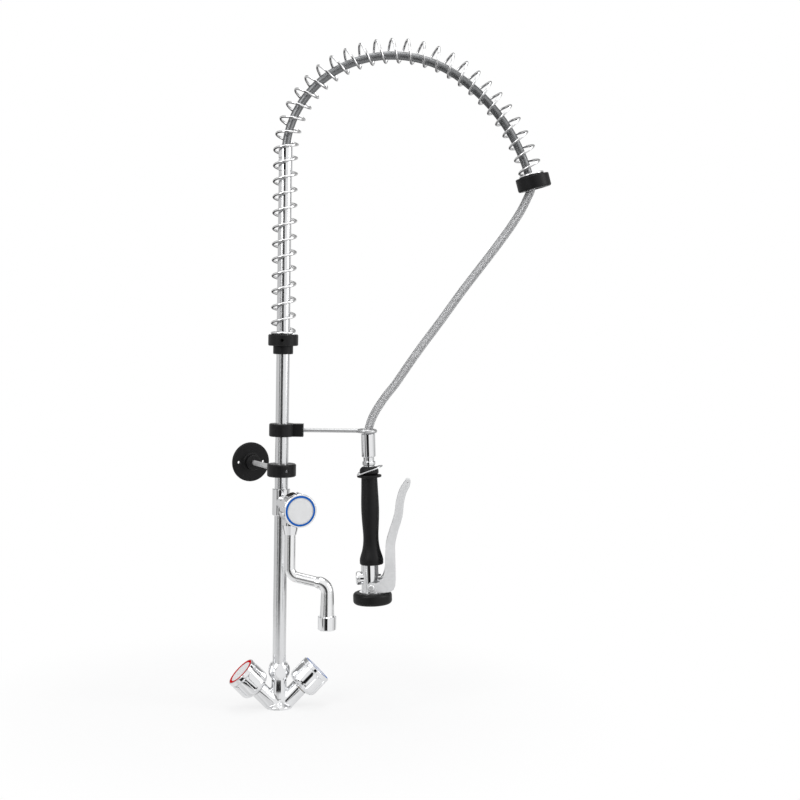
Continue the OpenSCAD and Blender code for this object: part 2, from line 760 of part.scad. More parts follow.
module spout_retainer() {
    color(steel) at_spout() translate([0, 0, tap_h - funnel_drop + 5])
        ring(spout_d + 2 * retainer[1] - 0.1, spout_d - 2 * retainer[1] + 0.1, retainer[0]);
}

module at_aerator() { at_spout() translate([spout_run, 0, aerator_top]) children(); }

module aerator_housing() {
    color(chrome) at_aerator() translate([0, 0, -aerator_h]) difference() {
        turned(aerator_d, aerator_h, 1.2);
        translate([0, 0, aerator_h - nose_len]) cylinder(d = nose_d + 0.1, h = nose_len + cut);
        translate([0, 0, 2]) cylinder(d = nose_d + 1.4, h = aerator_h - nose_len - 2);
        translate([0, 0, -cut]) cylinder(d = nose_d - 2, h = aerator_h);
    }
}

module aerator_washer() {
    color(rubber) at_aerator() translate([0, 0, -nose_len - 2]) ring(nose_d + 1.2, nose_d - 5, 2);
}

module aerator_insert() {
    depth = aerator_h - nose_len - 4;
    color(white_plastic) at_aerator() translate([0, 0, -nose_len - 2 - depth]) difference() {
        cylinder(d = nose_d + 1.2, h = depth);
        translate([0, 0, 2]) cylinder(d = nose_d - 2, h = depth);
        for (x = [-2:2], y = [-2:2]) if (x * x + y * y < 6)
            translate([3 * x - 0.9, 3 * y - 0.9, -cut]) cube([1.8, 1.8, 2 + 2 * cut]);
    }
}

// ---------------------------------------------------------------------------------------------
// Wall bracket

module wall_clamp() {
    color(black) at_wall() difference() {
        translate([0, 0, -clamp_h / 2]) turned(wall_clamp_d, clamp_h, 1.5);
        translate([0, 0, -clamp_h]) cylinder(d = clamp_bore, h = 2 * clamp_h);
        translate([0, rod_seat, 0]) rotate([-90, 0, 0])
            cylinder(d = wall_rod_d + 2 * run_fit, h = wall_clamp_d);
        rotate([90, 0, 0]) cylinder(d = set_screw[0] + 0.1, h = wall_clamp_d);
    }
}

module set_screw_at(tip) {
    translate([0, 0, tip]) difference() {
        cylinder(d = set_screw[0], h = set_screw[1]);
        translate([0, 0, set_screw[1]]) hex_socket(2.5, 3);
    }
}

module wall_clamp_screw() {
    color(steel) at_wall() rotate([90, 0, 0]) set_screw_at(riser_d / 2 + run_fit);
}

module wall_rod() {
    color(steel) at_wall() translate([0, rod_seat, 0]) rotate([-90, 0, 0])
        cylinder(d = wall_rod_d, h = wall_reach - flange_t / 2 - rod_seat);
}

module wall_flange() {
    color(black) at_wall() translate([0, wall_reach, 0]) rotate([90, 0, 0]) difference() {
        union() {
            rotate_extrude() polygon(concat([[0, 0], [flange_d / 2, 0]],
                arc([flange_d / 2 - 2.5, flange_t - 2.5], 2.5, 0, 90, 4), [[0, flange_t]]));
            rotate_extrude() polygon(concat([[0, 0], [hub[0] / 2 + 3, flange_t]],
                arc([hub[0] / 2 + 3, flange_t + 3], 3, -90, -180, 4),
                arc([hub[0] / 2 - 2, flange_t + hub[1] - 2], 2, 0, 90, 4),
                [[0, flange_t + hub[1]]]));
        }
        translate([0, 0, flange_t / 2])
            cylinder(d = wall_rod_d + 2 * run_fit, h = wall_reach);
        for (side = [-1, 1]) translate([side * flange_pitch / 2, 0, -cut]) {
            cylinder(d = flange_hole_d, h = flange_t + 2 * cut);
            translate([0, 0, cut + flange_t - 1]) cylinder(d1 = flange_hole_d,
                d2 = flange_hole_d + 4, h = 2);
        }
    }
}

// ---------------------------------------------------------------------------------------------
// Gun holder

module holder_clamp() {
    color(black) overhead() translate([0, 0, holder_h]) difference() {
        union() {
            translate([0, 0, -clamp_h / 2]) turned(holder_clamp_d, clamp_h, 1.2);
            translate([0, -holder_block_w / 2, -clamp_h / 2])
                cube([holder_block_x, holder_block_w, clamp_h]);
        }
        translate([0, 0, -clamp_h]) cylinder(d = clamp_bore, h = 2 * clamp_h);
        translate([rod_seat, 0, 0]) rotate([0, 90, 0])
            cylinder(d = holder_rod_d + 2 * run_fit, h = holder_clamp_d);
        rotate([0, -90, 0]) cylinder(d = set_screw[0] + 0.1, h = holder_clamp_d);
    }
}

module holder_hook() {
    color(steel) overhead() translate([0, 0, holder_h]) {
        translate([rod_seat, 0, 0]) rotate([0, 90, 0])
            cylinder(d = holder_rod_d, h = eye_x - eye_r - rod_seat);
        translate([eye_x, 0, 0]) rotate_extrude() translate([eye_r, 0])
            circle(d = holder_rod_d);
    }
}

// The set screws of the holder clamp and the spring collar
module overhead_set_screws() {
    color(steel) overhead() {
        translate([0, 0, holder_h]) rotate([0, -90, 0]) set_screw_at(riser_d / 2 + run_fit);
        translate([0, 0, collar_h + collar_step[1] + collar_top[1] / 2]) rotate([90, 0, 0])
            set_screw_at(riser_d / 2 + run_fit);
    }
}

// ---------------------------------------------------------------------------------------------
// Overhead spring and hose

module spring_collar() {
    color(black) overhead() translate([0, 0, collar_h]) difference() {
        union() {
            turned(collar_step[0], collar_step[1] + cut, 1);
            translate([0, 0, collar_step[1]]) turned(collar_top[0], collar_top[1], 1.2);
        }
        translate([0, 0, -cut]) cylinder(d = clamp_bore, h = collar_face);
        translate([0, 0, collar_step[1] + collar_top[1] / 2]) rotate([90, 0, 0])
            cylinder(d = set_screw[0] + 0.1, h = collar_top[0]);
    }
}

// The spring's wire, unrolled: q runs round the coil and s along the arch. The last turn at each
// end closes flat on the collar or the cap, and then opens softly into the pitch.
curl_steps = 8;
turn_q = 2 * PI * spring_r;
wire_q = turn_q * spring_turns;
flat_q = 0.7 * turn_q;
soften = 20;
end_lift = spring_wire / 2 + gap;
leg_slope = spring_pitch / turn_q;
leg_q = flat_q + soften / 2 + (leg_len - end_lift) / leg_slope;
arch_slope = (arch_len - leg_len - end_lift) / (wire_q - leg_q - flat_q - soften / 2);
wire_phase = 214;
function end_rise(q, slope) = q < flat_q ? 0 :
    q < flat_q + soften ? slope * (q - flat_q) * (q - flat_q) / (2 * soften) :
    slope * (q - flat_q - soften / 2);
function coil_s(q) =
    q < leg_q ? end_lift + end_rise(q, leg_slope) :
    arch_len - end_lift - end_rise(wire_q - q, arch_slope);
wire_line = [for (k = [0:spring_turns * curl_steps])
    let (q = wire_q * k / (spring_turns * curl_steps)) [q, coil_s(q)]];

// Direction from the spring's centre line to the wire at a point of the unrolled line
function wire_lead(w) =
    let (t = wire_phase + w[0] / spring_r * 180 / PI, h = arch_at(w[1])[2])
    [-cos(t) * sin(h), -sin(t), cos(t) * cos(h)];
wire_out = [for (w = wire_line) wire_lead(w)];
wire_path = [for (i = [0:len(wire_line) - 1])
    arch_xyz(wire_line[i][1], 0, 0) + spring_r * wire_out[i]];

// Least gap between turns, from each ring to those at least three quarters of a turn further on
spring_gap = min([for (i = [0:len(wire_path) - 7], j = [i + 6:min(i + 12, len(wire_path) - 1)])
    norm(wire_path[i] - wire_path[j])]) - spring_wire;

module spring() {
    echo(str("least gap of the spring to itself: ", spring_gap, " mm"));
    color(steel) overhead() skin_tube(wire_path, wire_out, spring_wire, 6);
}

module spring_cap() {
    color(black) at_end_cap() difference() {
        rotate_extrude() polygon(concat([[0, 0]],
            arc([end_cap[0] / 2 - 1.5, 1.5], 1.5, -90, 0, 4),
            arc([end_cap[0] / 2 - 2.5, end_cap[1] - 2.5], 2.5, 0, 90, 4), [[0, end_cap[1]]]));
        translate([0, 0, -cut]) cylinder(d = end_cap_bore, h = end_cap[1] + 2 * cut);
    }
}

module hose_nut() {
    thread = 10;
    color(chrome) overhead() translate([0, 0, riser_top]) difference() {
        union() {
            turned(hose_nut_d, hose_nut_h / 2, 0.6);
            translate([0, 0, hose_nut_h / 2]) cylinder(d = hose_nut_d - 1.6, h = 1.2);
            translate([0, 0, hose_nut_h / 2 + 1.2]) turned(hose_nut_d, hose_nut_h / 2 - 1.2, 0.6);
        }
        translate([0, 0, -cut]) cylinder(d = riser_bore + 2 * run_fit - 0.6,
            h = thread + gasket_t + cut);
        cylinder(d = hose_d - 4, h = hose_nut_h);
        translate([0, 0, hose_nut_h - hose_socket])
            cylinder(d = hose_d + hose_play, h = hose_socket + cut);
    }
}

module hose_gasket() {
    color(rubber) overhead() translate([0, 0, riser_top + 10])
        ring(riser_bore - 0.8, riser_bore - 4, gasket_t);
}

// The hose inside the spring hangs towards the inside of the arch
hose_s0 = hose_start - collar_face;
hose_s1 = arch_len + end_cap[1] / 2;
function hose_shift(t) =
    hose_sag * pow(sin(180 * t), 1.5) + hose_end_shift * t * t * (3 - 2 * t);
hose_steps = 44;
inner_hose = [for (k = [0:hose_steps]) let (t = k / hose_steps)
    arch_xyz(hose_s0 + (hose_s1 - hose_s0) * t, -hose_shift(t), 0)];

// The free hose's route, moved with the spring's end at its top and with the gun at its foot
function route_point(p) =
    let (foot = (route_from[1] - p[1]) / (route_from[1] - route_to[1]), end = arch_at(arch_len),
        q = p + (1 - foot) * ([end[0], end[1]] - route_from) + foot * ([gun_x, gun_z] - route_to))
    [q[0], 0, q[1]];

module hose_overhead() {
    color(steel) overhead()
        skin_tube(inner_hose, [for (p = inner_hose) [0, 1, 0]], hose_d, hose_sides);
}

module hose_free() {
    route = smooth(concat([inner_hose[hose_steps]], [for (p = hose_route) route_point(p)]), 2);
    color(steel) overhead() skin_tube(route, [for (p = route) [0, 1, 0]], hose_d, hose_sides);
}

// ---------------------------------------------------------------------------------------------
// Spray gun

module gun_sleeve() {
    color(chrome) gun() down(gun_sleeve_h) difference() {
        union() {
            turned(gun_sleeve_d, gun_sleeve_h, 1);
        }
        translate([0, 0, gun_sleeve_h - hose_socket]) cylinder(d = hose_d + 0.5,
            h = hose_socket + cut);
        translate([0, 0, -cut]) cylinder(d = gun_tube_d - 3 + 2 * run_fit, h = swivel_len + cut);
        cylinder(d = 7, h = gun_sleeve_h);
    }
}

// Neck that turns in the sleeve, with a flange above the grip and a thread inside it
module gun_neck() {
    color(chrome) gun() difference() {
        union() {
            down(neck_z0) cylinder(d = gun_tube_d - 3, h = swivel_len - gap);
            down(neck_z1) turned(neck_d, neck_z1 - neck_z0, 0.5);
            down(neck_z1 + neck_flange[1]) turned(neck_flange[0], neck_flange[1], 1);
            down(rim_z) cylinder(d = neck_d, h = rim_z - neck_z1);
        }
        down(rim_z + cut) cylinder(d = 7, h = rim_z + cut);
        down(rim_z + cut) cylinder(d = gun_tube_d + 2 * run_fit, h = 8 + cut);
    }
}

module gun_tube() {
    color(steel) gun() down(valve_z + tube_seat) ring(gun_tube_d, gun_tube_d - 3,
        valve_z + tube_seat - rim_z + 8);
}

// Half profile of the grip: distance down the gun against radius
grip_line = [
    [rim_z + 4.6, grip_d / 2 - 1.4], [82, grip_d / 2 - 0.9], [100, grip_d / 2 - 0.2],
    [116, grip_d / 2], [134, grip_d / 2 - 0.8], [152, grip_d / 2 - 1.9], [164, grip_d / 2 - 1.5],
    [174, grip_d / 2 + 0.1], [182, flare_d / 2 - 1.7], [188, flare_d / 2 - 0.1],
    [192, flare_d / 2]
];

module grip() {
    dome = 7;
    side = [for (p = smooth(grip_line, 3)) [p[1], -p[0]]];
    color(black) gun() difference() {
        rotate_extrude() polygon(concat(
            [[0, -grip_z]], arc([bulb_r - dome, -grip_z - dome], dome, 90, 0, 8),
            arc([bulb_r - 2, -bulb_foot], 2, 0, -60, 4),
            [[12.6, -rim_z + 0.6]], arc([rim_d / 2 - 1.2, -rim_z - 1.2], 1.2, 90, 0, 3),
            arc([rim_d / 2 - 1.2, -rim_z - 2.2], 1.2, 0, -90, 3), [[12.6, -rim_z - 3.4]],
            side, arc([flare_d / 2 - 2, 2 - grip_end], 2, 0, -90, 3), [[0, -grip_end]]));
        down(grip_end + cut) cylinder(d = gun_tube_d + 0.1, h = grip_end);
        down(rim_z) cylinder(d = neck_d + 0.1, h = rim_z);
    }
}

// A long wire loop that leans on the grip's top bulb, with its low side on the rim
ring_low = [rim_d / 2 - 1.2, rim_z - 0.2 - ring_wire / 2];
ring_tilt = 18;
ring_corner = 6;         // radius of the two bends beside the ring's hinge bar

// The ring is a D: its straight bar is the hinge, which lies on the back of the grip's rim
module hold_ring() {
    half = 14.6 + ring_wire / 2;
    front = ring_len + ring_wire - half;
    color(steel) gun() translate([-ring_low[0], 0, -ring_low[1]]) rotate([0, -ring_tilt, 0]) {
        ring_bar([0, ring_corner - half - bend_lap, 0], -90, 0, 2 * (half - ring_corner + bend_lap));
        ring_bend([front, 0], half, -90, 180);
        ring_bend([ring_corner, half - ring_corner], ring_corner, 90, 90);
        ring_bend([ring_corner, ring_corner - half], ring_corner, 180, 90);
        for (side = [-half, half])
            ring_bar([ring_corner - bend_lap, side, 0], 0, 90, front - ring_corner + 2 * bend_lap);
    }
}

module ring_bar(from, tip_x, tip_y, h) {
    translate(from) rotate([tip_x, tip_y, 0]) cylinder(d = ring_wire, h = h, $fn = 24);
}

module ring_bend(centre, r, from, turn) {
    translate([centre[0], centre[1], 0]) rotate([0, 0, from]) rotate_extrude(angle = turn)
        translate([r, 0]) circle(d = ring_wire - bend_draw, $fn = 24);
}

module valve_body() {
    color(chrome) gun() difference() {
        union() {
            translate([-valve_shift, 0, 0]) down(head_z) cylinder(d = valve_d, h = head_z - valve_z);
            across(stem_z) translate([0, 0, -cap_a]) cylinder(d = valve_cap_d - 1, h = cap_a);
            across(stem_z) cylinder(d = 11, h = valve_d / 2 - valve_shift + 3.5);
            for (side = [-1, 1]) translate([pivot_a, 0, -pivot_z]) rotate([side * 90, 0, 0])
                cylinder(d = 11, h = fork_gap / 2 - gap);
            down(head_z + head_len) cylinder(d = head_d, h = head_len);
        }
        // seat of the tube, and the way down to the valve chamber
        down(valve_z + tube_seat) cylinder(d = gun_tube_d + 0.1, h = tube_seat + cut);
        translate([seat_a - 4, 0, 0]) down(stem_z) cylinder(d = 6, h = stem_z - valve_z);
        // valve chamber, seat port and stem guide
        across(stem_z) translate([0, 0, -cap_a - cut])
            cylinder(d = 16, h = 5.5 + cut);
        across(stem_z) translate([0, 0, -cap_a]) cylinder(d = 12, h = cap_a + seat_a);
        across(stem_z) translate([0, 0, seat_a - cut]) cylinder(d = 8, h = 7);
        across(stem_z) cylinder(d = stem_d2 + 2 * run_fit, h = valve_d);
        // outlet down into the spray head's chamber
        translate([1, 0, 0]) down(head_z + head_wall + cut) cylinder(d = 5,
            h = head_z + head_wall + cut - stem_z);
        difference() {
            down(head_z + head_len + cut) cylinder(d = head_d - 2 * head_wall,
                h = head_len - head_wall + cut);
            down(head_z + head_len) cylinder(d = 9, h = head_len);
        }
        down(head_z + head_len + cut) cylinder(d = 3.4, h = 9);
        // threads of the pivot screws
        for (side = [-1, 1]) translate([pivot_a, 0, -pivot_z]) rotate([side * 90, 0, 0])
            translate([0, 0, 9]) cylinder(d = pivot_d + 0.1, h = fork_gap);
    }
}

module valve_cap() {
    r = 3;
    plug = 5.4;
    color(chrome) gun() across(stem_z) translate([0, 0, -cap_a]) mirror([0, 0, 1]) difference() {
        union() {
            rotate_extrude() polygon(concat([[0, 0], [valve_cap_d / 2, 0]],
                arc([valve_cap_d / 2 - r, cap_len - r], r, 0, 90, 5), [[0, cap_len]]));
            translate([0, 0, -plug]) cylinder(d = 15.9, h = plug + cut);
        }
        translate([0, 0, -plug - cut]) cylinder(d = 12, h = plug + cut + cap_len - cap_skin);
    }
}

module valve_stem() {
    color(steel) gun() across(stem_z) {
        translate([0, 0, -12]) cylinder(d = stem_d2, h = stem_reach + 10);
        translate([0, 0, stem_reach - 2]) cylinder(d1 = stem_d2, d2 = 1.6, h = 2);
        translate([0, 0, seat_a - 5.4]) cylinder(d = 10.6, h = 2.4);
    }
}

module valve_seal() {
    color(rubber) gun() across(stem_z) translate([0, 0, seat_a - 3])
        ring(10.8, stem_d2, 2.9);
}

// Return spring round the stem's tail, between the stem's flange and the cap
valve_curls = 5;
valve_coil = [8.4, 1.2];
module valve_spring() {
    z0 = -cap_a - cap_len + cap_skin;
    z1 = seat_a - 5.4;
    r = valve_coil[0] / 2;
    straight = valve_coil[1];
    steps = valve_curls * curl_steps;
    coil = [for (k = [0:steps]) let (t = 360 * k / curl_steps)
        [r * cos(t), r * sin(t), z0 + 2 * straight + (z1 - z0 - 4 * straight) * k / steps]];
    path = concat([[r, 0, z0], [r, 0, z0 + straight]], coil, [[r, 0, z1 - straight], [r, 0, z1]]);
    lead = [for (p = path) [p[0], p[1], 0]];
    color(steel) gun() across(stem_z) skin_tube(path, lead, valve_coil[1], 6);
}

// One section of the lever's channel, open towards the grip: out from the gun by x, down by z
function channel(at, dir, depth, half) =
    let (o = [dir[1], -dir[0]], c = 2.6, w = lever_wall, u0 = -depth / 2, u1 = depth / 2)
    [for (p = concat([[u0, -half]], [for (t = [-90:30:0]) [u1 - c + c * cos(t), c - half + c * sin(t)]],
            [for (t = [0:30:90]) [u1 - c + c * cos(t), half - c + c * sin(t)]],
            [[u0, half], [u0, half - w], [u1 - w, half - w], [u1 - w, w - half], [u0, w - half]]))
        [at[0] + p[0] * o[0], p[1], -(at[1] + p[0] * o[1])]];

module lever_channel() {
    line = smooth([for (p = lever_line) [p[1], p[0], p[2], p[3]]], 3);
    n = len(line);
    rings = [for (i = [0:n - 1])
        let (a = line[max(i - 1, 0)], b = line[min(i + 1, n - 1)],
            dir = unit([b[0] - a[0], b[1] - a[1]]))
        channel([line[i][0], line[i][1]], dir, line[i][2], line[i][3])];
    m = len(rings[0]);
    walls = [for (i = [0:n - 2], j = [0:m - 1])
        let (p = i * m + j, q = i * m + (j + 1) % m) each [[p, q, q + m], [p, q + m, p + m]]];
    // the end faces, as triangles between the outside and the inside of the channel
    fans = concat([[0, 1, 12], [0, 12, 13], [12, 4, 5], [12, 5, 11], [11, 8, 9], [11, 9, 10]],
        [for (j = [1:3]) [12, j, j + 1]], [for (j = [5:7]) [11, j, j + 1]]);
    top = (n - 1) * m;
    polyhedron(points = [for (r = rings) each r], faces = concat(walls,
        [for (f = fans) [f[2], f[1], f[0]]], [for (f = fans) [top + f[0], top + f[1], top + f[2]]]),
        convexity = 10);
}

module lever() {
    width = fork_gap + 2 * ear_t;
    color(cast_grey) gun() difference() {
        union() {
            lever_channel();
            translate([tip[0], 8.4, -tip[1]]) rotate([90, 0, 0]) cylinder(r = tip_r, h = 16.8);
            difference() {
                translate([0, width / 2, 0]) rotate([90, 0, 0]) linear_extrude(width) {
                    polygon([for (p = yoke_outline) [p[0], -p[1]]]);
                    translate([pivot_a, -pivot_z]) circle(r = 7);
                }
                translate([-width, -fork_gap / 2, -pivot_z - width])
                    cube([width + 35.7 - lever_wall, fork_gap, 2 * width]);
            }
        }
        translate([pivot_a, width, -pivot_z]) rotate([90, 0, 0])
            cylinder(d = pivot_d + 2 * run_fit, h = 2 * width);
        translate([tip[0], width, -tip[1]]) rotate([90, 0, 0]) cylinder(d = tip_hole, h = 2 * width);
    }
}

// Two domed pins that carry the fork, one each side of the valve body
module lever_pivots() {
    reach = fork_gap / 2 + ear_t + 0.1;
    color(steel) gun() for (side = [-1, 1]) translate([pivot_a, 0, -pivot_z])
        rotate([side * 90, 0, 0]) {
            translate([0, 0, 10]) cylinder(d = pivot_d, h = reach - 10);
            rotate_extrude() polygon(concat([[0, reach]],
                arc([pivot_d / 2, reach], 2, 0, 90, 5), [[0, reach + 2]]));
        }
}

module bumper() {
    r = bumper_round;
    half = bumper_d / 2;
    color(rubber) gun() down(bumper_z + bumper_h) difference() {
        rotate_extrude() polygon(concat([[0, 0]], arc([half - r, r], r, -90, 0),
            arc([half - r, bumper_h - r], r, 0, 90), [[0, bumper_h]]));
        translate([0, 0, head_floor]) cylinder(d = head_d + 0.1, h = bumper_h);
        translate([0, 0, -cut]) cylinder(d1 = head_d - 1, d2 = head_d - 6, h = bumper_h / 2);
    }
}

module spray_face() {
    z = head_z + head_len;
    color(steel) gun() down(z + 1.4) difference() {
        cylinder(d = head_d - 0.4, h = 1.3);
        translate([0, 0, -cut]) cylinder(d = 3.6, h = 4);
        for (row = [[jet_count, 12], [jet_count / 2, 7]], i = [0:row[0] - 1])
            rotate([0, 0, 360 * i / row[0]]) translate([row[1], 0, -cut]) cylinder(d = 1.6, h = 4);
    }
}

module spray_screw() {
    z = head_z + head_len + 1.4;
    color(steel) gun() down(z) difference() {
        union() {
            translate([0, 0, -1.8]) turned(7, 1.8, 0.4);
            cylinder(d = 3.3, h = 8);
        }
        translate([0, 0, -1.8]) mirror([0, 0, 1]) hex_socket(2.5, 1.2);
    }
}

// ---------------------------------------------------------------------------------------------
// One line per node

base_body();
base_seal();
column_nut();
column_gasket();
lower_riser();
upper_riser();
cartridge("hot");  // hot_cartridge
spindle("hot");  // hot_spindle
knob("hot");  // hot_knob
index_ring("hot", red);  // hot_index_ring
knob_cap("hot");  // hot_cap
knob_screw("hot");  // hot_screw
cartridge("cold");  // cold_cartridge
spindle("cold");  // cold_spindle
knob("cold");  // cold_knob
index_ring("cold", blue);  // cold_index_ring
knob_cap("cold");  // cold_cap
knob_screw("cold");  // cold_screw
cartridge("tap");  // tap_cartridge
spindle("tap");  // tap_spindle
knob("tap");  // tap_knob
index_ring("tap", blue);  // tap_index_ring
knob_cap("tap");  // tap_cap
knob_screw("tap");  // tap_screw
tap_body();
spout();
spout_o_ring();
spout_retainer();
aerator_housing();
aerator_insert();
aerator_washer();
wall_clamp();
wall_clamp_screw();
wall_rod();
wall_flange();
holder_clamp();
holder_hook();
overhead_set_screws();
spring_collar();
spring();
spring_cap();
hose_nut();
hose_gasket();
hose_overhead();
hose_free();
gun_sleeve();
gun_neck();
gun_tube();
grip();
hold_ring();
valve_body();
valve_cap();
valve_stem();
valve_seal();
valve_spring();
lever();
lever_pivots();
bumper();
spray_face();
spray_screw();
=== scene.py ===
"""Dresses the pre rinse faucet's frame with finishes, a round-wire spring and a braided hose."""
import logging
import math
from dataclasses import dataclass, field
from enum import Enum
from typing import ClassVar, Sequence

import bmesh
import bpy
from mathutils import Matrix, Vector


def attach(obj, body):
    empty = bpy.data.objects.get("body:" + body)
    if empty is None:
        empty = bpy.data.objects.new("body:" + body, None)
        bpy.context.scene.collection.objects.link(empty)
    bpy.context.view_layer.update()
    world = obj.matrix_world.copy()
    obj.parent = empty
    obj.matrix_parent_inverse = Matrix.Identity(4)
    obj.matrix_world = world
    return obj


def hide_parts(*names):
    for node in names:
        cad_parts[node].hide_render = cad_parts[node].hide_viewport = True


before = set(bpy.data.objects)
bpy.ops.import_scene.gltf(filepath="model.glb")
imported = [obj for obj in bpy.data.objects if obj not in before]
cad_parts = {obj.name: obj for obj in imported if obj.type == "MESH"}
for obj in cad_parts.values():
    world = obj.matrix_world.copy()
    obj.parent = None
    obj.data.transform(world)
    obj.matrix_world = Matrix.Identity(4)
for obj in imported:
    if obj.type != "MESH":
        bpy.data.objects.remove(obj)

Colour = tuple[float, float, float]
Span = tuple[float, float]
Socket = bpy.types.NodeSocket
Sockets = dict[str, Socket]

LOG = logging.getLogger("faucet")
MM = 0.001
TURNED = -13.0
FLOAT, VECTOR = "NodeSocketFloat", "NodeSocketVector"
UNROLLED = "unrolled"
CAP_GREY: Colour = (0.74, 0.745, 0.75)
PLAIN_WHITE: Colour = (1.0, 1.0, 1.0)
UP = Vector((0.0, 0.0, 1.0))


# Graphs, effects and finishes


@dataclass
class Graph:
    """A short way to write a shader node tree."""

    tree: bpy.types.NodeTree

    def add(self, kind: str, **settings: object) -> bpy.types.Node:
        """Adds a node.

        Args:
            kind: The node's type without its "ShaderNode" prefix.
            settings: Attributes of the node to set.

        Returns:
            The new node.
        """
        made = self.tree.nodes.new("ShaderNode" + kind)
        for name, value in settings.items():
            setattr(made, name, value)
        return made

    def put(self, socket: Socket, value: object) -> None:
        """Links a socket into an input, or writes a plain value on it.

        Args:
            socket: The input.
            value: Another node's output, or a number or a tuple.
        """
        if isinstance(value, Socket):
            self.tree.links.new(value, socket)
        elif value is not None:
            socket.default_value = value

    def fill(self, node: bpy.types.Node, *values: object) -> bpy.types.Node:
        """Gives a node its first inputs in order.

        Args:
            node: The node.
            values: Sockets or plain values.

        Returns:
            The node.
        """
        for slot, value in zip(node.inputs, values):
            self.put(slot, value)
        return node

    def math(self, operation: str, *values: object) -> Socket:
        """Adds a Math node and gives its result."""
        return self.fill(self.add("Math", operation=operation), *values).outputs[0]

    def vary(self, mask: object, spread: float, start: object) -> Socket:
        """Adds a mask, multiplied by a spread, to a start value."""
        return self.math("MULTIPLY_ADD", mask, spread, start)

    def ramp(self, value: object, low: float, high: float, to_low: float = 0.0,
             to_high: float = 1.0) -> Socket:
        """Maps a value smoothly from the range low to high onto the range to_low to to_high."""
        node = self.add("MapRange", interpolation_type="SMOOTHSTEP")
        return self.fill(node, value, low, high, to_low, to_high).outputs[0]

    def window(self, value: object, lower: Span, upper: Span) -> Socket:
        """Masks the values between two soft edges, each with its start and its end."""
        return self.math("MULTIPLY", self.ramp(value, *lower), self.ramp(value, *upper, 1.0, 0.0))

    def mix(self, factor: object, first: object, second: object) -> Socket:
        """Mixes two colours.

        Args:
            factor: 0 for the first and 1 for the second.
            first: A colour or a socket.
            second: A colour or a socket.

        Returns:
            The mixed colour's socket.
        """
        node = self.add("Mix", data_type="RGBA")
        for index, value in ((0, factor), (6, rgba(first)), (7, rgba(second))):
            self.put(node.inputs[index], value)
        return node.outputs[2]

    def tint(self, mask: object, colour: Colour, change: Span) -> Socket:
        """Makes a colour brighter or darker by a mask.

        Args:
            mask: Where it changes.
            colour: The colour.
            change: How much of the mask counts, and how bright the colour gets, in times.

        Returns:
            The colour's socket.
        """
        strength, times = change
        return self.mix(self.math("MULTIPLY", mask, strength), colour,
                        tuple(c * times for c in colour))

    def noise(self, vector: object, scale: object, detail: float = 3.0,
              roughness: float = 0.5) -> Socket:
        """Adds a noise texture.

        Args:
            vector: Where it is read.
            scale: How fine it is.
            detail: How many octaves it has.
            roughness: How strong the finer octaves are.

        Returns:
            The noise value's socket.
        """
        node = self.add("TexNoise")
        for label, value in (("Vector", vector), ("Scale", scale), ("Detail", detail),
                             ("Roughness", roughness)):
            self.put(node.inputs[label], value)
        return node.outputs["Fac"]

    def cells(self, vector: object, scale: object, feature: str) -> Socket:
        """Adds a Voronoi texture.

        Args:
            vector: Where it is read.
            scale: How fine it is.
            feature: Which of its distances is given.

        Returns:
            The distance's socket.
        """
        node = self.add("TexVoronoi", feature=feature)
        self.put(node.inputs["Vector"], vector)
        self.put(node.inputs["Scale"], scale)
        return node.outputs["Distance"]

    def stretch(self, vector: object, scale: Sequence[float]) -> Socket:
        """Multiplies a vector by a scale for each axis."""
        return self.fill(self.add("VectorMath", operation="MULTIPLY"), vector, scale).outputs[0]

    def along(self, vector: object, way: Sequence[float]) -> Socket:
        """Measures how far a vector reaches in a fixed direction."""
        node = self.add("VectorMath", operation="DOT_PRODUCT")
        return self.fill(node, vector, tuple(way)).outputs["Value"]

    def axes(self, vector: object) -> bpy.types.NodeOutputs:
        """Splits a vector into its three numbers."""
        return self.fill(self.add("SeparateXYZ"), vector).outputs

    def bump(self, height: object, distance: float, strength: float,
             normal: object = None) -> Socket:
        """Adds a Bump node.

        Args:
            height: The relief, from 0 to 1.
            distance: Its full height in metres.
            strength: How much of it shows.
            normal: The normal that it stands on.

        Returns:
            The normal's socket.
        """
        node = self.add("Bump")
        for label, value in (("Height", height), ("Distance", distance),
                             ("Strength", strength), ("Normal", normal)):
            self.put(node.inputs[label], value)
        return node.outputs[0]


def rgba(value: object) -> object:
    """Gives a plain colour an alpha of 1, and leaves a socket or a number as it is."""
    return (*value, 1.0) if isinstance(value, tuple) else value


def emptied(owner: bpy.types.Material | bpy.types.World) -> bpy.types.NodeTree:
    """Gives a material or a world an empty node tree.

    Args:
        owner: The material or the world.

    Returns:
        Its node tree.
    """
    owner.use_nodes = True
    owner.node_tree.nodes.clear()
    return owner.node_tree


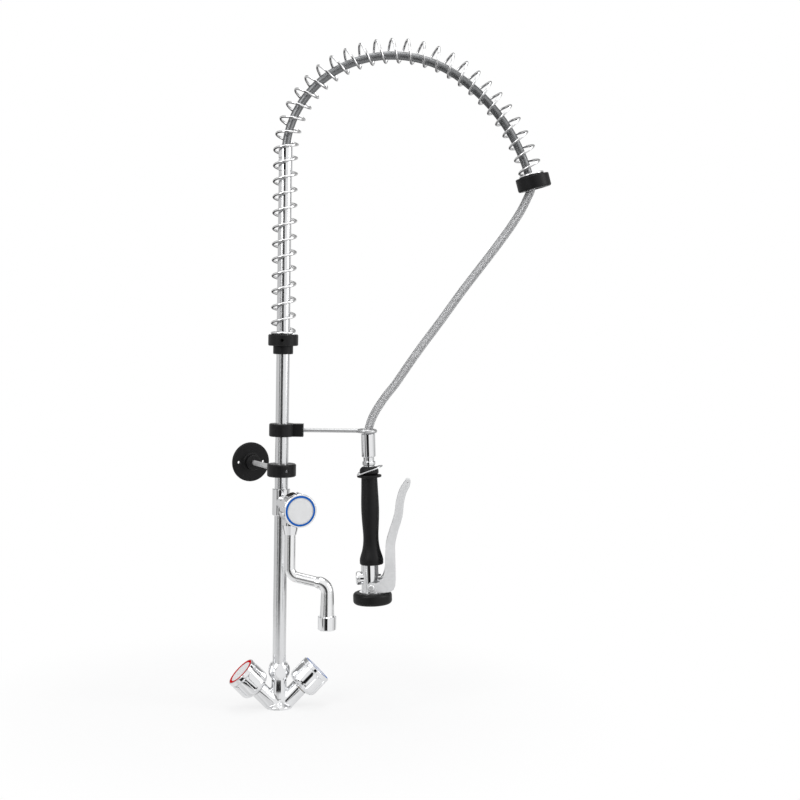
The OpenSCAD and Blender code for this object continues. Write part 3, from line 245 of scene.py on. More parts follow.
class Effect(Graph):
    """A shader node group, made once and used by several finishes."""

    name = "effect"
    inputs: dict[str, tuple[str, object]] = {}
    outputs: tuple[str, ...] = ()

    def __init__(self) -> None:
        """Makes the group with its sockets and its nodes."""
        super().__init__(bpy.data.node_groups.new(self.name, "ShaderNodeTree"))
        for label, (kind, default) in self.inputs.items():
            socket = self.tree.interface.new_socket(label, in_out="INPUT", socket_type=kind)
            if default is not None:
                socket.default_value = default
        for label in self.outputs:
            self.tree.interface.new_socket(label, in_out="OUTPUT", socket_type=FLOAT)
        source = self.tree.nodes.new("NodeGroupInput")
        sink = self.tree.nodes.new("NodeGroupOutput")
        self.given = {s.name: s for s in source.outputs if s.name}
        for label, socket in self.build().items():
            self.put(sink.inputs[label], socket)

    def build(self) -> Sockets:
        """Builds the group's nodes, and gives a socket for each output."""
        raise NotImplementedError

    @classmethod
    def use(cls, g: Graph, **values: object) -> bpy.types.NodeOutputs:
        """Adds the group to a material, and makes the group first if it is new.

        Args:
            g: The material's graph.
            values: Inputs by name, with spaces written as underscores.

        Returns:
            The group node's outputs.
        """
        tree = bpy.data.node_groups.get(cls.name) or cls().tree
        node = g.add("Group", node_tree=tree)
        for label, value in values.items():
            g.put(node.inputs[label.replace("_", " ")], value)
        return node.outputs


class Handling(Effect):
    """Finger marks and dried drops: a soft mask that raises the roughness in patches."""

    name = "handling_marks"
    inputs = {"Vector": (VECTOR, None), "Patch Scale": (FLOAT, 24.0), "Spot Scale": (FLOAT, 260.0)}
    outputs = ("Smear", "Spots")
    smeared = (0.35, 0.75)
    drop = (0.12, 0.2, 1.0, 0.0)
    rare = (0.58, 0.7)

    def build(self) -> Sockets:
        """Draws cloudy smears, and drops where a broader cloud lets them show.

        Returns:
            The two masks.
        """
        place, patches = self.given["Vector"], self.given["Patch Scale"]
        cells = self.cells(place, self.given["Spot Scale"], "SMOOTH_F1")
        cloud = self.ramp(self.noise(place, patches, detail=2.0), *self.rare)
        patch = self.noise(place, patches, detail=4.0, roughness=0.6)
        return {"Smear": self.ramp(patch, *self.smeared),
                "Spots": self.math("MULTIPLY", self.ramp(cells, *self.drop), cloud)}


class DrawnLines(Effect):
    """Fine lines along one direction, as on drawn wire and polished tube."""

    name = "drawn_lines"
    inputs = {"Vector": (VECTOR, None), "Line Scale": (FLOAT, 900.0)}
    outputs = ("Lines", "Bands")
    drawn = (1.0, 1.0, 0.02)
    band_width = 9.0

    def build(self) -> Sockets:
        """Draws a fine and a broad noise, both stretched along Z.

        Returns:
            The two noises.
        """
        place, scale = self.stretch(self.given["Vector"], self.drawn), self.given["Line Scale"]
        broad = self.math("DIVIDE", scale, self.band_width)
        return {"Lines": self.noise(place, scale, detail=5.0, roughness=0.7),
                "Bands": self.noise(place, broad, detail=2.0)}


class MouldGrain(Effect):
    """The fine leathery grain of a moulded or cast surface."""

    name = "mould_grain"
    inputs = {"Vector": (VECTOR, None), "Grain Scale": (FLOAT, 1400.0)}
    outputs = ("Grain", "Cloud")
    cloud_width = 22.0

    def build(self) -> Sockets:
        """Breaks small cells up with noise, and adds a slow cloud.

        Returns:
            The grain and the cloud.
        """
        place, scale = self.given["Vector"], self.given["Grain Scale"]
        grain = self.math("MULTIPLY", self.cells(place, scale, "F1"),
                          self.noise(place, scale, roughness=0.6))
        broad = self.math("DIVIDE", scale, self.cloud_width)
        return {"Grain": grain, "Cloud": self.noise(place, broad, detail=4.0)}


class EdgeWear(Effect):
    """A mask of the outer edges, broken up by noise, where handling polishes or chips."""

    name = "edge_wear"
    inputs = {"Vector": (VECTOR, None), "Start": (FLOAT, 0.53), "End": (FLOAT, 0.6)}
    outputs = ("Edge",)
    chip_scale = 180.0
    chipped = (0.35, 0.6)

    def build(self) -> Sockets:
        """Masks the pointed places of the mesh.

        Returns:
            The mask.
        """
        pointed = self.add("NewGeometry").outputs["Pointiness"]
        edge = self.ramp(pointed, self.given["Start"], self.given["End"])
        chips = self.noise(self.given["Vector"], self.chip_scale, detail=4.0)
        return {"Edge": self.math("MULTIPLY", edge, self.ramp(chips, *self.chipped))}


class Braid(Effect):
    """Two sets of wire bundles that wind round a hose and cross over and under each other.

    It reads a UV whose X runs once round the hose and whose Y is the length in metres.
    """

    name = "hose_braid"
    inputs = {"Vector": (VECTOR, None), "Bundles": (FLOAT, 14.0), "Pitch": (FLOAT, 0.036),
              "Wires": (FLOAT, 4.0)}
    outputs = ("Height", "Gap")
    ridge = 0.22
    roundness = 0.5
    gap = (0.05, 0.6, 1.0, 0.0)

    def build(self) -> Sockets:
        """Lays one set of bundles each way, and shows whichever is on top.

        Returns:
            The relief and the mask of the gaps.
        """
        across, length, _ = self.axes(self.given["Vector"])
        turn = self.math("DIVIDE", length, self.given["Pitch"])
        lays = []
        for way in ("ADD", "SUBTRACT"):
            place = self.math("MULTIPLY", self.math(way, across, turn), self.given["Bundles"])
            inside = self.math("FRACT", place)
            crown = self.math("SINE", self.math("MULTIPLY", inside, math.pi))
            wires = self.math("MULTIPLY", self.given["Wires"], math.tau)
            ridge = self.math("SINE", self.math("MULTIPLY", inside, wires))
            arched = self.math("POWER", crown, self.roundness)
            lays.append((self.math("FLOOR", place), crown, self.vary(ridge, self.ridge, arched)))
        (step_a, crown_a, fine_a), (step_b, crown_b, fine_b) = lays
        swap = self.math("PINGPONG", self.math("ADD", step_a, step_b), 1.0)
        over = self.math("GREATER_THAN", swap, 0.5)
        height, crown = self.add("Mix", data_type="FLOAT"), self.add("Mix", data_type="FLOAT")
        for node, one, two in ((height, fine_a, fine_b), (crown, crown_a, crown_b)):
            self.put(node.inputs[0], over)
            self.put(node.inputs[2], one)
            self.put(node.inputs[3], two)
        return {"Height": height.outputs[0], "Gap": self.ramp(crown.outputs[0], *self.gap)}


class RoomTones(Effect):
    """How bright the studio is in each direction round the object.

    It is white behind the object. In front, a dark gap with a grey card in it lies between the
    two softboxes. Each stop is a share of the turn, with 0.5 in front, and a tone.
    """

    name = "room_tones"
    inputs = {"Vector": (VECTOR, None)}
    outputs = ("Tone",)
    facing = math.radians(TURNED)
    stops = ((0.035, 0.95), (0.05, 0.60), (0.20, 0.66), (0.335, 0.70), (0.343, 0.03),
             (0.375, 0.03), (0.383, 0.80), (0.402, 0.80), (0.410, 0.22), (0.436, 0.18),
             (0.444, 0.01), (0.522, 0.01), (0.532, 0.95), (0.70, 0.92), (0.72, 0.74),
             (0.792, 0.74), (0.80, 0.25), (0.822, 0.25), (0.832, 0.72), (0.95, 0.66),
             (0.965, 0.95))

    def build(self) -> Sockets:
        """Turns a direction into a place on a ramp of tones.

        Returns:
            The tone.
        """
        cos, sin = math.cos(self.facing), math.sin(self.facing)
        turn = self.math("ARCTAN2", self.along(self.given["Vector"], (cos, sin, 0.0)),
                      self.along(self.given["Vector"], (sin, -cos, 0.0)))
        tones = self.fill(self.add("ValToRGB"), self.vary(turn, 1 / math.tau, 0.5))
        ramp = tones.color_ramp
        for place, tone in self.stops:
            ramp.elements.new(place).color = rgba((tone,) * 3)
        for stop in (ramp.elements[0], ramp.elements[-1]):
            stop.color = rgba(PLAIN_WHITE)
        return {"Tone": self.fill(self.add("SeparateColor"), tones.outputs[0]).outputs[0]}


@dataclass
class Paint(Graph):
    """The graph of one material, with its shader and the object's coordinates."""

    def __post_init__(self) -> None:
        """Adds the shader, its output and the coordinates."""
        self.shader = self.add("BsdfPrincipled")
        self.fill(self.add("OutputMaterial"), self.shader.outputs[0])
        self.place = self.add("TexCoord").outputs["Object"]

    def set(self, label: str, value: object) -> None:
        """Puts a socket or a plain value on one of the shader's inputs."""
        self.put(self.shader.inputs[label], value)


@dataclass(frozen=True)
class Finish:
    """A surface finish, which makes one material."""

    name: str
    slot: str
    colour: Colour

    def material(self) -> bpy.types.Material:
        """Builds the finish's material.

        Returns:
            The material.
        """
        made = bpy.data.materials.new(self.name)
        g = Paint(emptied(made))
        g.set("Base Color", rgba(self.colour))
        self.shade(g)
        return made

    def shade(self, g: Paint) -> None:
        """Adds the finish's own nodes to its material."""
        raise NotImplementedError


@dataclass(frozen=True)
class Chrome(Finish):
    """Polished plating with faint handling marks and a hair of orange peel."""

    rough: float = 0.035
    smear: float = 0.06
    spots: float = 0.12
    dulled: Span = (0.3, 0.9)
    peel: float = 0.02 * MM
    peel_scale: float = 90.0
    edge: float = 0.4 * MM

    def shade(self, g: Paint) -> None:
        """Adds the marks, softly rounded edges and the peel.

        Args:
            g: The material's graph.
        """
        g.set("Metallic", 1.0)
        marks = Handling.use(g, Vector=g.place)
        dull = g.vary(marks["Smear"], self.smear, self.rough)
        g.set("Roughness", g.vary(marks["Spots"], self.spots, dull))
        edges = g.fill(g.add("Bevel", samples=4), self.edge)
        wave = g.noise(g.place, self.peel_scale, detail=2.0)
        g.set("Normal", g.bump(wave, self.peel, strength=0.5, normal=edges.outputs[0]))
        g.set("Base Color", g.tint(marks["Smear"], self.colour, self.dulled))


@dataclass(frozen=True)
class DrawnSteel(Finish):
    """Bright drawn wire or tube with fine lines along it, and painted shade on the wire's lower
    side.
    """

    rough: float = 0.2
    bands: float = 0.12
    smear: float = 0.05
    lined: Span = (0.35, 0.82)
    relief: float = 0.03 * MM
    line_scale: float = 900.0
    # How strong the painted shade is on faces that look down, between which upward normals it
    # comes in, and its colour.
    underside_shade: float = 0.0
    turned_down: Span = (-0.75, -0.2)
    shadow: Colour = (0.02, 0.02, 0.022)

    def shade(self, g: Paint) -> None:
        """Adds the lines, the marks and painted shade on the faces that look down.

        Args:
            g: The material's graph.
        """
        g.set("Metallic", 1.0)
        lines = DrawnLines.use(g, Vector=g.place, Line_Scale=self.line_scale)
        marks = Handling.use(g, Vector=g.place, Patch_Scale=40.0)
        banded = g.vary(lines["Bands"], self.bands, self.rough - self.bands / 2)
        g.set("Roughness", g.vary(marks["Smear"], self.smear, banded))
        tone = g.tint(lines["Lines"], self.colour, self.lined)
        # Painted shade: faces that look down are darkened towards the shadow colour.
        if self.underside_shade:
            upward = g.axes(g.add("NewGeometry").outputs["Normal"])[2]
            painted_shade = g.ramp(upward, *self.turned_down, self.underside_shade, 0.0)
            tone = g.mix(painted_shade, tone, self.shadow)
        g.set("Base Color", tone)
        g.set("Normal", g.bump(lines["Lines"], self.relief, strength=0.35))


@dataclass(frozen=True)
class BraidedWire(Finish):
    """The woven wire sleeve of the hose, darker down in its gaps."""

    gap_colour: Colour = (0.05, 0.05, 0.055)
    rough: float = 0.24
    relief: float = 0.6 * MM
    cloud_scale: float = 120.0
    clouded: Span = (0.4, 0.75)
    dull: float = 0.15

    def shade(self, g: Paint) -> None:
        """Adds the weave and the soft clouds of wear on it.

        Args:
            g: The material's graph.
        """
        weave = Braid.use(g, Vector=g.add("UVMap", uv_map=UNROLLED).outputs[0])
        cloud = g.noise(g.place, self.cloud_scale)
        wires = g.tint(cloud, self.colour, self.clouded)
        g.set("Base Color", g.mix(weave["Gap"], wires, self.gap_colour))
        g.set("Metallic", g.math("SUBTRACT", 1.0, weave["Gap"]))
        g.set("Roughness", g.vary(cloud, self.dull, self.rough))
        g.set("Normal", g.bump(weave["Height"], self.relief, strength=0.9))


@dataclass(frozen=True)
class Moulded(Finish):
    """Moulded plastic or rubber: a fine grain, cloudy gloss and edges rubbed smooth."""

    rough: float = 0.45
    gloss: float = 0.22
    grain: float = 0.06 * MM
    grain_scale: float = 1400.0
    clouded: Span = (0.5, 1.5)
    cloud: float = 0.16
    rubbed: float = -0.1
    worn: Colour = (0.02, 0.02, 0.02)

    def shade(self, g: Paint) -> None:
        """Adds the grain and the rubbed edges.

        Args:
            g: The material's graph.
        """
        g.set("Specular IOR Level", self.gloss)
        grain = MouldGrain.use(g, Vector=g.place, Grain_Scale=self.grain_scale)
        edge = EdgeWear.use(g, Vector=g.place)["Edge"]
        clouded = g.tint(grain["Cloud"], self.colour, self.clouded)
        g.set("Base Color", g.mix(edge, clouded, self.worn))
        rough = g.vary(grain["Cloud"], self.cloud, self.rough - self.cloud / 2)
        g.set("Roughness", g.vary(edge, self.rubbed, rough))
        g.set("Normal", g.bump(grain["Grain"], self.grain, strength=0.6))


@dataclass(frozen=True)
class Casting(Finish):
    """A cast lever under a satin coat: slow waves, fine orange peel and bright rubbed edges."""

    rough: float = 0.34
    coat: float = 0.25
    coat_rough: float = 0.18
    peel: float = 0.05 * MM
    peel_scale: float = 900.0
    wave: float = 0.2 * MM
    wave_scale: float = 60.0
    clouded: Span = (0.15, 0.94)
    cloud: float = 0.08
    rubbed: float = 1.06

    def shade(self, g: Paint) -> None:
        """Adds the coat, the peel, the waves and the rubbed edges.

        Args:
            g: The material's graph.
        """
        g.set("Coat Weight", self.coat)
        g.set("Coat Roughness", self.coat_rough)
        grain = MouldGrain.use(g, Vector=g.place, Grain_Scale=self.peel_scale)
        edge = EdgeWear.use(g, Vector=g.place)["Edge"]
        clouded = g.tint(grain["Cloud"], self.colour, self.clouded)
        g.set("Base Color", g.mix(edge, clouded, tuple(c * self.rubbed for c in self.colour)))
        g.set("Roughness", g.vary(grain["Cloud"], self.cloud, self.rough - self.cloud / 2))
        waves = g.noise(g.place, self.wave_scale, detail=2.0)
        slow = g.bump(waves, self.wave, strength=0.12)
        g.set("Normal", g.bump(grain["Grain"], self.peel, strength=0.5, normal=slow))


@dataclass(frozen=True)
class Gloss(Finish):
    """A small plastic trim."""

    rough: float = 0.3
    gloss: float = 0.0
    smear: float = 0.15
    dulled: Span = (0.2, 0.85)

    def shade(self, g: Paint) -> None:
        """Adds the handling marks.

        Args:
            g: The material's graph.
        """
        g.set("Specular IOR Level", self.gloss)
        smear = Handling.use(g, Vector=g.place, Patch_Scale=60.0)["Smear"]
        g.set("Roughness", g.vary(smear, self.smear, self.rough))
        g.set("Base Color", g.tint(smear, self.colour, self.dulled))


@dataclass(frozen=True)
class IndexBand(Gloss):
    """A ring whose outer band is coloured and whose inner band is as grey as its cap."""

    centre: tuple[float, float, float] = (0.0, 0.0, 0.0)
    reach: float = 15.0 * MM
    band: float = 3.0 * MM
    blur: float = 0.1 * MM
    inner: Colour = CAP_GREY

    def shade(self, g: Paint) -> None:
        """Paints the inner band over the coloured ring.

        Args:
            g: The material's graph.
        """
        super().shade(g)
        painted = g.shader.inputs["Base Color"].links[0].from_socket
        away = g.fill(g.add("VectorMath", operation="DISTANCE"), g.place, self.centre)
        edge = self.reach - self.band
        mask = g.ramp(away.outputs["Value"], edge - self.blur, edge + self.blur)
        g.set("Base Color", g.mix(mask, self.inner, painted))


@dataclass(frozen=True)
class Turned(Finish):
    """Machined metal with the fine rings that a lathe leaves."""

    rough: float = 0.23
    smear: float = 0.14
    cut: float = 0.04 * MM
    cut_scale: float = 1500.0
    turned: tuple[float, float, float] = (0.05, 0.05, 1.0)
    lined: Span = (0.4, 0.7)

    def shade(self, g: Paint) -> None:
        """Adds the rings and the handling marks.

        Args:
            g: The material's graph.
        """
        g.set("Metallic", 1.0)
        cuts = g.noise(g.stretch(g.place, self.turned), self.cut_scale)
        marks = Handling.use(g, Vector=g.place, Patch_Scale=50.0)
        g.set("Roughness", g.vary(marks["Smear"], self.smear, self.rough))
        g.set("Base Color", g.tint(cuts, self.colour, self.lined))
        g.set("Normal", g.bump(cuts, self.cut, strength=0.4))


CHROME = Chrome("chrome_plating", "chrome", (0.86, 0.865, 0.875))
PLATED_CASTING = Chrome("plated_casting", "chrome", (0.86, 0.865, 0.875), rough=0.08)
SPOUT = Chrome("spout_plating", "chrome", (0.93, 0.935, 0.94), rough=0.18)
PIN = Chrome("satin_pin", "chrome", (0.90, 0.905, 0.91), rough=0.34)
RISER = DrawnSteel("polished_tube", "chrome", (0.80, 0.805, 0.815))
STEEL = DrawnSteel("drawn_steel", "steel", (0.70, 0.705, 0.715))
# The spring wire's lower side gets painted shade.
WIRE = DrawnSteel("spring_wire", "steel", (0.95, 0.95, 0.955), rough=0.09, line_scale=1200.0,
                  underside_shade=0.65)
ROD = DrawnSteel("holder_rod", "steel", (0.58, 0.585, 0.59), rough=0.35)
ZINC = DrawnSteel("zinc_rod", "steel", (0.88, 0.885, 0.89), rough=0.5)
BRAID = BraidedWire("wire_braid", "braid", (0.70, 0.705, 0.715))
# Painted shade: the hanging hose's braid again, darker and glossier, for the hose in the spring's
# shade.
SHADED_BRAID = BraidedWire("braid_painted_shade", "braid", (0.25, 0.255, 0.26), rough=0.08,
                      relief=0.09 * MM)
BRASS = Turned("turned_brass", "brass", (0.72, 0.55, 0.26))
BLACK = Moulded("black_moulding", "black", (0.006, 0.006, 0.0065), rough=0.42,
                worn=(0.015, 0.015, 0.015))
GRIP = Moulded("grip_moulding", "black", (0.006, 0.006, 0.0065), rough=0.46, grain_scale=900.0)
RUBBER = Moulded("black_rubber", "rubber", (0.006, 0.006, 0.006), rough=0.42)
CAP = Moulded("grey_cap", "grey_cap", CAP_GREY, rough=0.34, gloss=0.3, worn=(0.8, 0.8, 0.8))
CAST = Casting("cast_lever", "cast_grey", (0.72, 0.725, 0.73))
RED = Gloss("hot_ring", "red_ring", (0.60, 0.004, 0.006))
BLUE = Gloss("cold_ring", "blue_ring", (0.012, 0.125, 0.50))
WHITE = Gloss("aerator_plastic", "white_insert", (0.80, 0.80, 0.78), gloss=0.08)


# Shapes


@dataclass(frozen=True)
class Arc:
    """One arc of the overhead line: its radius in metres and its turn in degrees."""

    radius: float
    turn: float

    @property
    def length(self) -> float:
        """The arc's length in metres."""
        return self.radius * math.radians(self.turn)


@dataclass(frozen=True)
class OverheadLine:
    """The centre line of the spring: a straight leg up the riser, then three smooth arcs.

    Its lengths are in metres, and its plane is turned about the riser by an angle in degrees.
    """

    foot: float = 0.559
    leg: float = 0.269
    arcs: tuple[Arc, ...] = (Arc(0.156, 56.0), Arc(0.170, 69.0), Arc(0.276, 40.0))
    turned: float = TURNED

    @property
    def length(self) -> float:
        """Length of the whole line in metres."""
        return self.leg + sum(a.length for a in self.arcs)

    def at(self, s: float) -> tuple[float, float, float]:
        """Finds a place on the line.

        Args:
            s: The length from the foot.

        Returns:
            Distance out from the riser, height, and heading in radians.
        """
        x, z, heading = 0.0, self.foot + min(s, self.leg), math.pi / 2
        left = s - self.leg
        for arc in self.arcs:
            if left <= 0.0:
                break
            turn = min(left, arc.length) / arc.radius
            x += arc.radius * (math.sin(heading) - math.sin(heading - turn))
            z += arc.radius * (math.cos(heading - turn) - math.cos(heading))
            heading -= turn
            left -= arc.length
        if left > 0.0:
            x += left * math.cos(heading)
            z += left * math.sin(heading)
        return x, z, heading

    def place(self, x: float, y: float, z: float) -> Vector:
        """Turns a point of the overhead plane into the row frame.

        Args:
            x: Distance out from the riser.
            y: Distance across the plane.
            z: Height.

        Returns:
            The point in the row frame.
        """
        turn = math.radians(self.turned)
        return Vector((x * math.cos(turn) - y * math.sin(turn),
                       x * math.sin(turn) + y * math.cos(turn), z))

    def point(self, s: float, out: float = 0.0, side: float = 0.0) -> Vector:
        """Finds a point at a length from the foot, out from the line and to its side."""
        x, z, heading = self.at(s)
        return self.place(x - out * math.sin(heading), side, z + out * math.cos(heading))


@dataclass
class Tube:
    """A round tube along a line of points, with a UV whose Y is its length in metres."""

    name: str
    path: list[Vector]
    radius: float
    sides: int = 28
    leads: list[Vector] | None = None
    length: float = field(init=False, default=0.0)

    def build(self) -> bpy.types.Object:
        """Builds the tube.

        Returns:
            The new object, linked into the scene.
        """
        rings, marks = [], []
        lead = Vector((0.0, 1.0, 0.0))
        for i, p in enumerate(self.path):
            after = self.path[min(i + 1, len(self.path) - 1)]
            before = self.path[max(i - 1, 0)]
            tangent = (after - before).normalized()
            if self.leads:
                lead = self.leads[i]
            lead = (lead - tangent * lead.dot(tangent)).normalized()
            across = tangent.cross(lead)
            rings.append([p + self.radius * (lead * math.cos(t) + across * math.sin(t))
                          for t in (math.tau * j / self.sides for j in range(self.sides))])
            if i:
                self.length += (p - self.path[i - 1]).length
            marks.append(self.length)
        points = [v for ring in rings for v in ring]
        faces, uvs = [], []
        for i in range(len(rings) - 1):
            for j in range(self.sides):
                k = (j + 1) % self.sides
                faces.append((i * self.sides + j, i * self.sides + k,
                              (i + 1) * self.sides + k, (i + 1) * self.sides + j))
                u, w = j / self.sides, (j + 1) / self.sides
                uvs += [(u, marks[i]), (w, marks[i]), (w, marks[i + 1]), (u, marks[i + 1])]
        last = (len(rings) - 1) * self.sides
        for cap in (list(range(self.sides))[::-1], [last + j for j in range(self.sides)]):
            faces.append(tuple(cap))
            uvs += [(0.0, 0.0)] * self.sides
        return mesh_object(self.name, points, faces, uvs)


def mesh_object(name: str, points: Sequence[Vector], faces: Sequence[Sequence[int]],
                uvs: Sequence[tuple[float, float]] = ()) -> bpy.types.Object:
    """Makes a smooth-shaded mesh object in the row frame.

    Args:
        name: The object's name.
        points: Its vertices.
        faces: Vertex numbers of its faces.
        uvs: One UV for each corner of each face, in order.

    Returns:
        The new object, linked into the scene.
    """
    mesh = bpy.data.meshes.new(name)
    mesh.from_pydata([tuple(p) for p in points], [], [tuple(f) for f in faces])
    if uvs:
        layer = mesh.uv_layers.new(name=UNROLLED)
        for corner, uv in zip(layer.data, uvs):
            corner.uv = uv
    for face in mesh.polygons:
        face.use_smooth = len(face.vertices) <= 4
    mesh.update()
    made = bpy.data.objects.new(name, mesh)
    bpy.context.scene.collection.objects.link(made)
    return made


def softened(name: str, source: str, voxel: float, rounds: int,
             zone: tuple[float, float, float]) -> bpy.types.Object:
    """Makes a copy of a casting whose junctions flow into each other.

    Args:
        name: The new object's name.
        source: The CAD node that it copies.
        voxel: Size of its mesh's faces in metres.
        rounds: How many times it is smoothed.
        zone: Lowest and highest place that is smoothed, and how far out, in metres.

    Returns:
        The new object, linked into the scene.
    """
    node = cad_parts[source]
    made = bpy.data.objects.new(name, node.data.copy())
    made.data.transform(node.matrix_world)
    bpy.context.scene.collection.objects.link(made)
    skin = made.modifiers.new("skin", "REMESH")
    skin.mode, skin.voxel_size = "VOXEL", voxel
    skinned = made.evaluated_get(bpy.context.evaluated_depsgraph_get())
    mesh = bpy.data.meshes.new_from_object(skinned)
    made.modifiers.clear()
    made.data = mesh
    mesh.materials.clear()
    low, high, out = zone
    form = bmesh.new()
    form.from_mesh(mesh)
    soft = [v for v in form.verts if low < v.co.z < high and abs(v.co.x) < out]
    for _ in range(rounds):
        bmesh.ops.smooth_vert(form, verts=soft, factor=0.5, use_axis_x=True, use_axis_y=True,
                              use_axis_z=True)
    form.to_mesh(mesh)
    form.free()
    for face in mesh.polygons:
        face.use_smooth = True
    return made


def smooth_line(points: Sequence[Vector], steps: int) -> list[Vector]:
    """Draws a smooth line through points.

    Args:
        points: The points.
        steps: How many pieces lie between each two.

    Returns:
        The line's points.
    """
    line = []
    for i in range(len(points) - 1):
        a, b = points[max(i - 1, 0)], points[i]
        c, d = points[i + 1], points[min(i + 2, len(points) - 1)]
        for k in range(steps):
            t = k / steps
            line.append(0.5 * (2 * b + (c - a) * t + (2 * a - 5 * b + 4 * c - d) * t * t
                               + (3 * b - a - 3 * c + d) * t ** 3))
    line.append(points[-1].copy())
    return line


# Sub-assemblies


class Body(Enum):
    """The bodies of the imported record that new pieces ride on."""

    FIXTURE = "fixture"
    OVERHEAD = "overhead"


class Control(Enum):
    """The three turning controls."""

    HOT = "hot"
    COLD = "cold"
    TAP = "tap"


@dataclass
class Workshop:
    """Hands out one material for each finish."""

    made: dict[str, bpy.types.Material] = field(default_factory=dict)

    def material(self, finish: Finish) -> bpy.types.Material:
        """Finds or makes a finish's material.

        Args:
            finish: The finish.

        Returns:
            Its material.
        """
        if finish.name not in self.made:
            self.made[finish.name] = finish.material()
        return self.made[finish.name]

    def dress(self, finish: Finish, *nodes: str) -> None:
        """Gives CAD nodes a finish.

        Args:
            finish: The finish.
            nodes: Names of the nodes.
        """
        for name in nodes:
            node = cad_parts[name]
            node.data.materials.clear()
            node.data.materials.append(self.material(finish))
            LOG.info("%s: %s", name, finish.name)

    def fit(self, piece: bpy.types.Object, finish: Finish, body: Body, node: str) -> None:
        """Finishes a new piece and fixes it to its body.

        Args:
            piece: The new object.
            finish: Its finish.
            body: The body that it rides on.
            node: The CAD node that it replaces.
        """
        piece.data.materials.append(self.material(finish))
        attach(piece, body.value)
        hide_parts(node)
        LOG.info("%s: rides on %s, %d faces", piece.name, body.value, len(piece.data.polygons))


@dataclass
class Assembly:
    """A sub-assembly, with the CAD nodes that it keeps listed by their finish."""

    shop: Workshop
    finishes: ClassVar[dict[Finish, str]] = {}

    def build(self) -> None:
        """Dresses the CAD nodes."""
        for finish, nodes in self.finishes.items():
            self.shop.dress(finish, *nodes.split())


@dataclass
class Mixer(Assembly):
    """The deck mixer, the riser's two lengths and all three controls.

    Its casting is smoothed between two heights and no further out than a given distance. Each
    control's index ring is coloured over an outer band.
    """

    finishes = {CHROME: "column_nut", RISER: "lower_riser upper_riser",
                RUBBER: "base_seal column_gasket"}
    voxel: float = 0.8 * MM
    rounds: int = 14
    low: float = 8.0 * MM
    high: float = 34.0 * MM
    out: float = 26.0 * MM
    bands: dict[Control, float] = field(default_factory=lambda: {
        Control.HOT: 3.6 * MM, Control.COLD: 3.4 * MM, Control.TAP: 3.0 * MM})

    def build(self) -> None:
        """Builds the mixer's casting, and dresses the riser and the controls."""
        super().build()
        casting = softened("base_casting", "base_body", self.voxel, self.rounds,
                           (self.low, self.high, self.out))
        self.shop.fit(casting, PLATED_CASTING, Body.FIXTURE, "base_body")
        for control in Control:
            which = control.value
            self.shop.dress(BRASS, f"{which}_cartridge", f"{which}_spindle")
            self.shop.dress(CHROME, f"{which}_knob")
            self.shop.dress(self.banded(control), f"{which}_index_ring")
            self.shop.dress(CAP, f"{which}_cap")
            self.shop.dress(STEEL, f"{which}_screw")

    def banded(self, control: Control) -> IndexBand:
        """Fits a coloured band to a control's index ring.

        Args:
            control: The control.

        Returns:
            The finish for its ring.
        """
        ring = RED if control is Control.HOT else BLUE
        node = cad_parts[f"{control.value}_index_ring"]
        points = [v.co for v in node.data.vertices]
        low = Vector(min(p[i] for p in points) for i in range(3))
        high = Vector(max(p[i] for p in points) for i in range(3))
        centre = (low + high) / 2
        return IndexBand(f"{control.value}_index_band", ring.slot, ring.colour,
                         centre=tuple(centre), band=self.bands[control],
                         reach=max((p - centre).length for p in points))


@dataclass
class SideTap(Assembly):
    """The side tap's body, its swivel spout and the aerator."""

    finishes = {CHROME: "tap_body aerator_housing", SPOUT: "spout", STEEL: "spout_retainer",
                RUBBER: "spout_o_ring aerator_washer", WHITE: "aerator_insert"}


@dataclass
class Brackets(Assembly):
    """The wall bracket and the gun holder."""

    finishes = {BLACK: "wall_clamp wall_flange holder_clamp overhead_set_screws",
                PIN: "wall_clamp_screw", ZINC: "wall_rod", ROD: "holder_hook"}


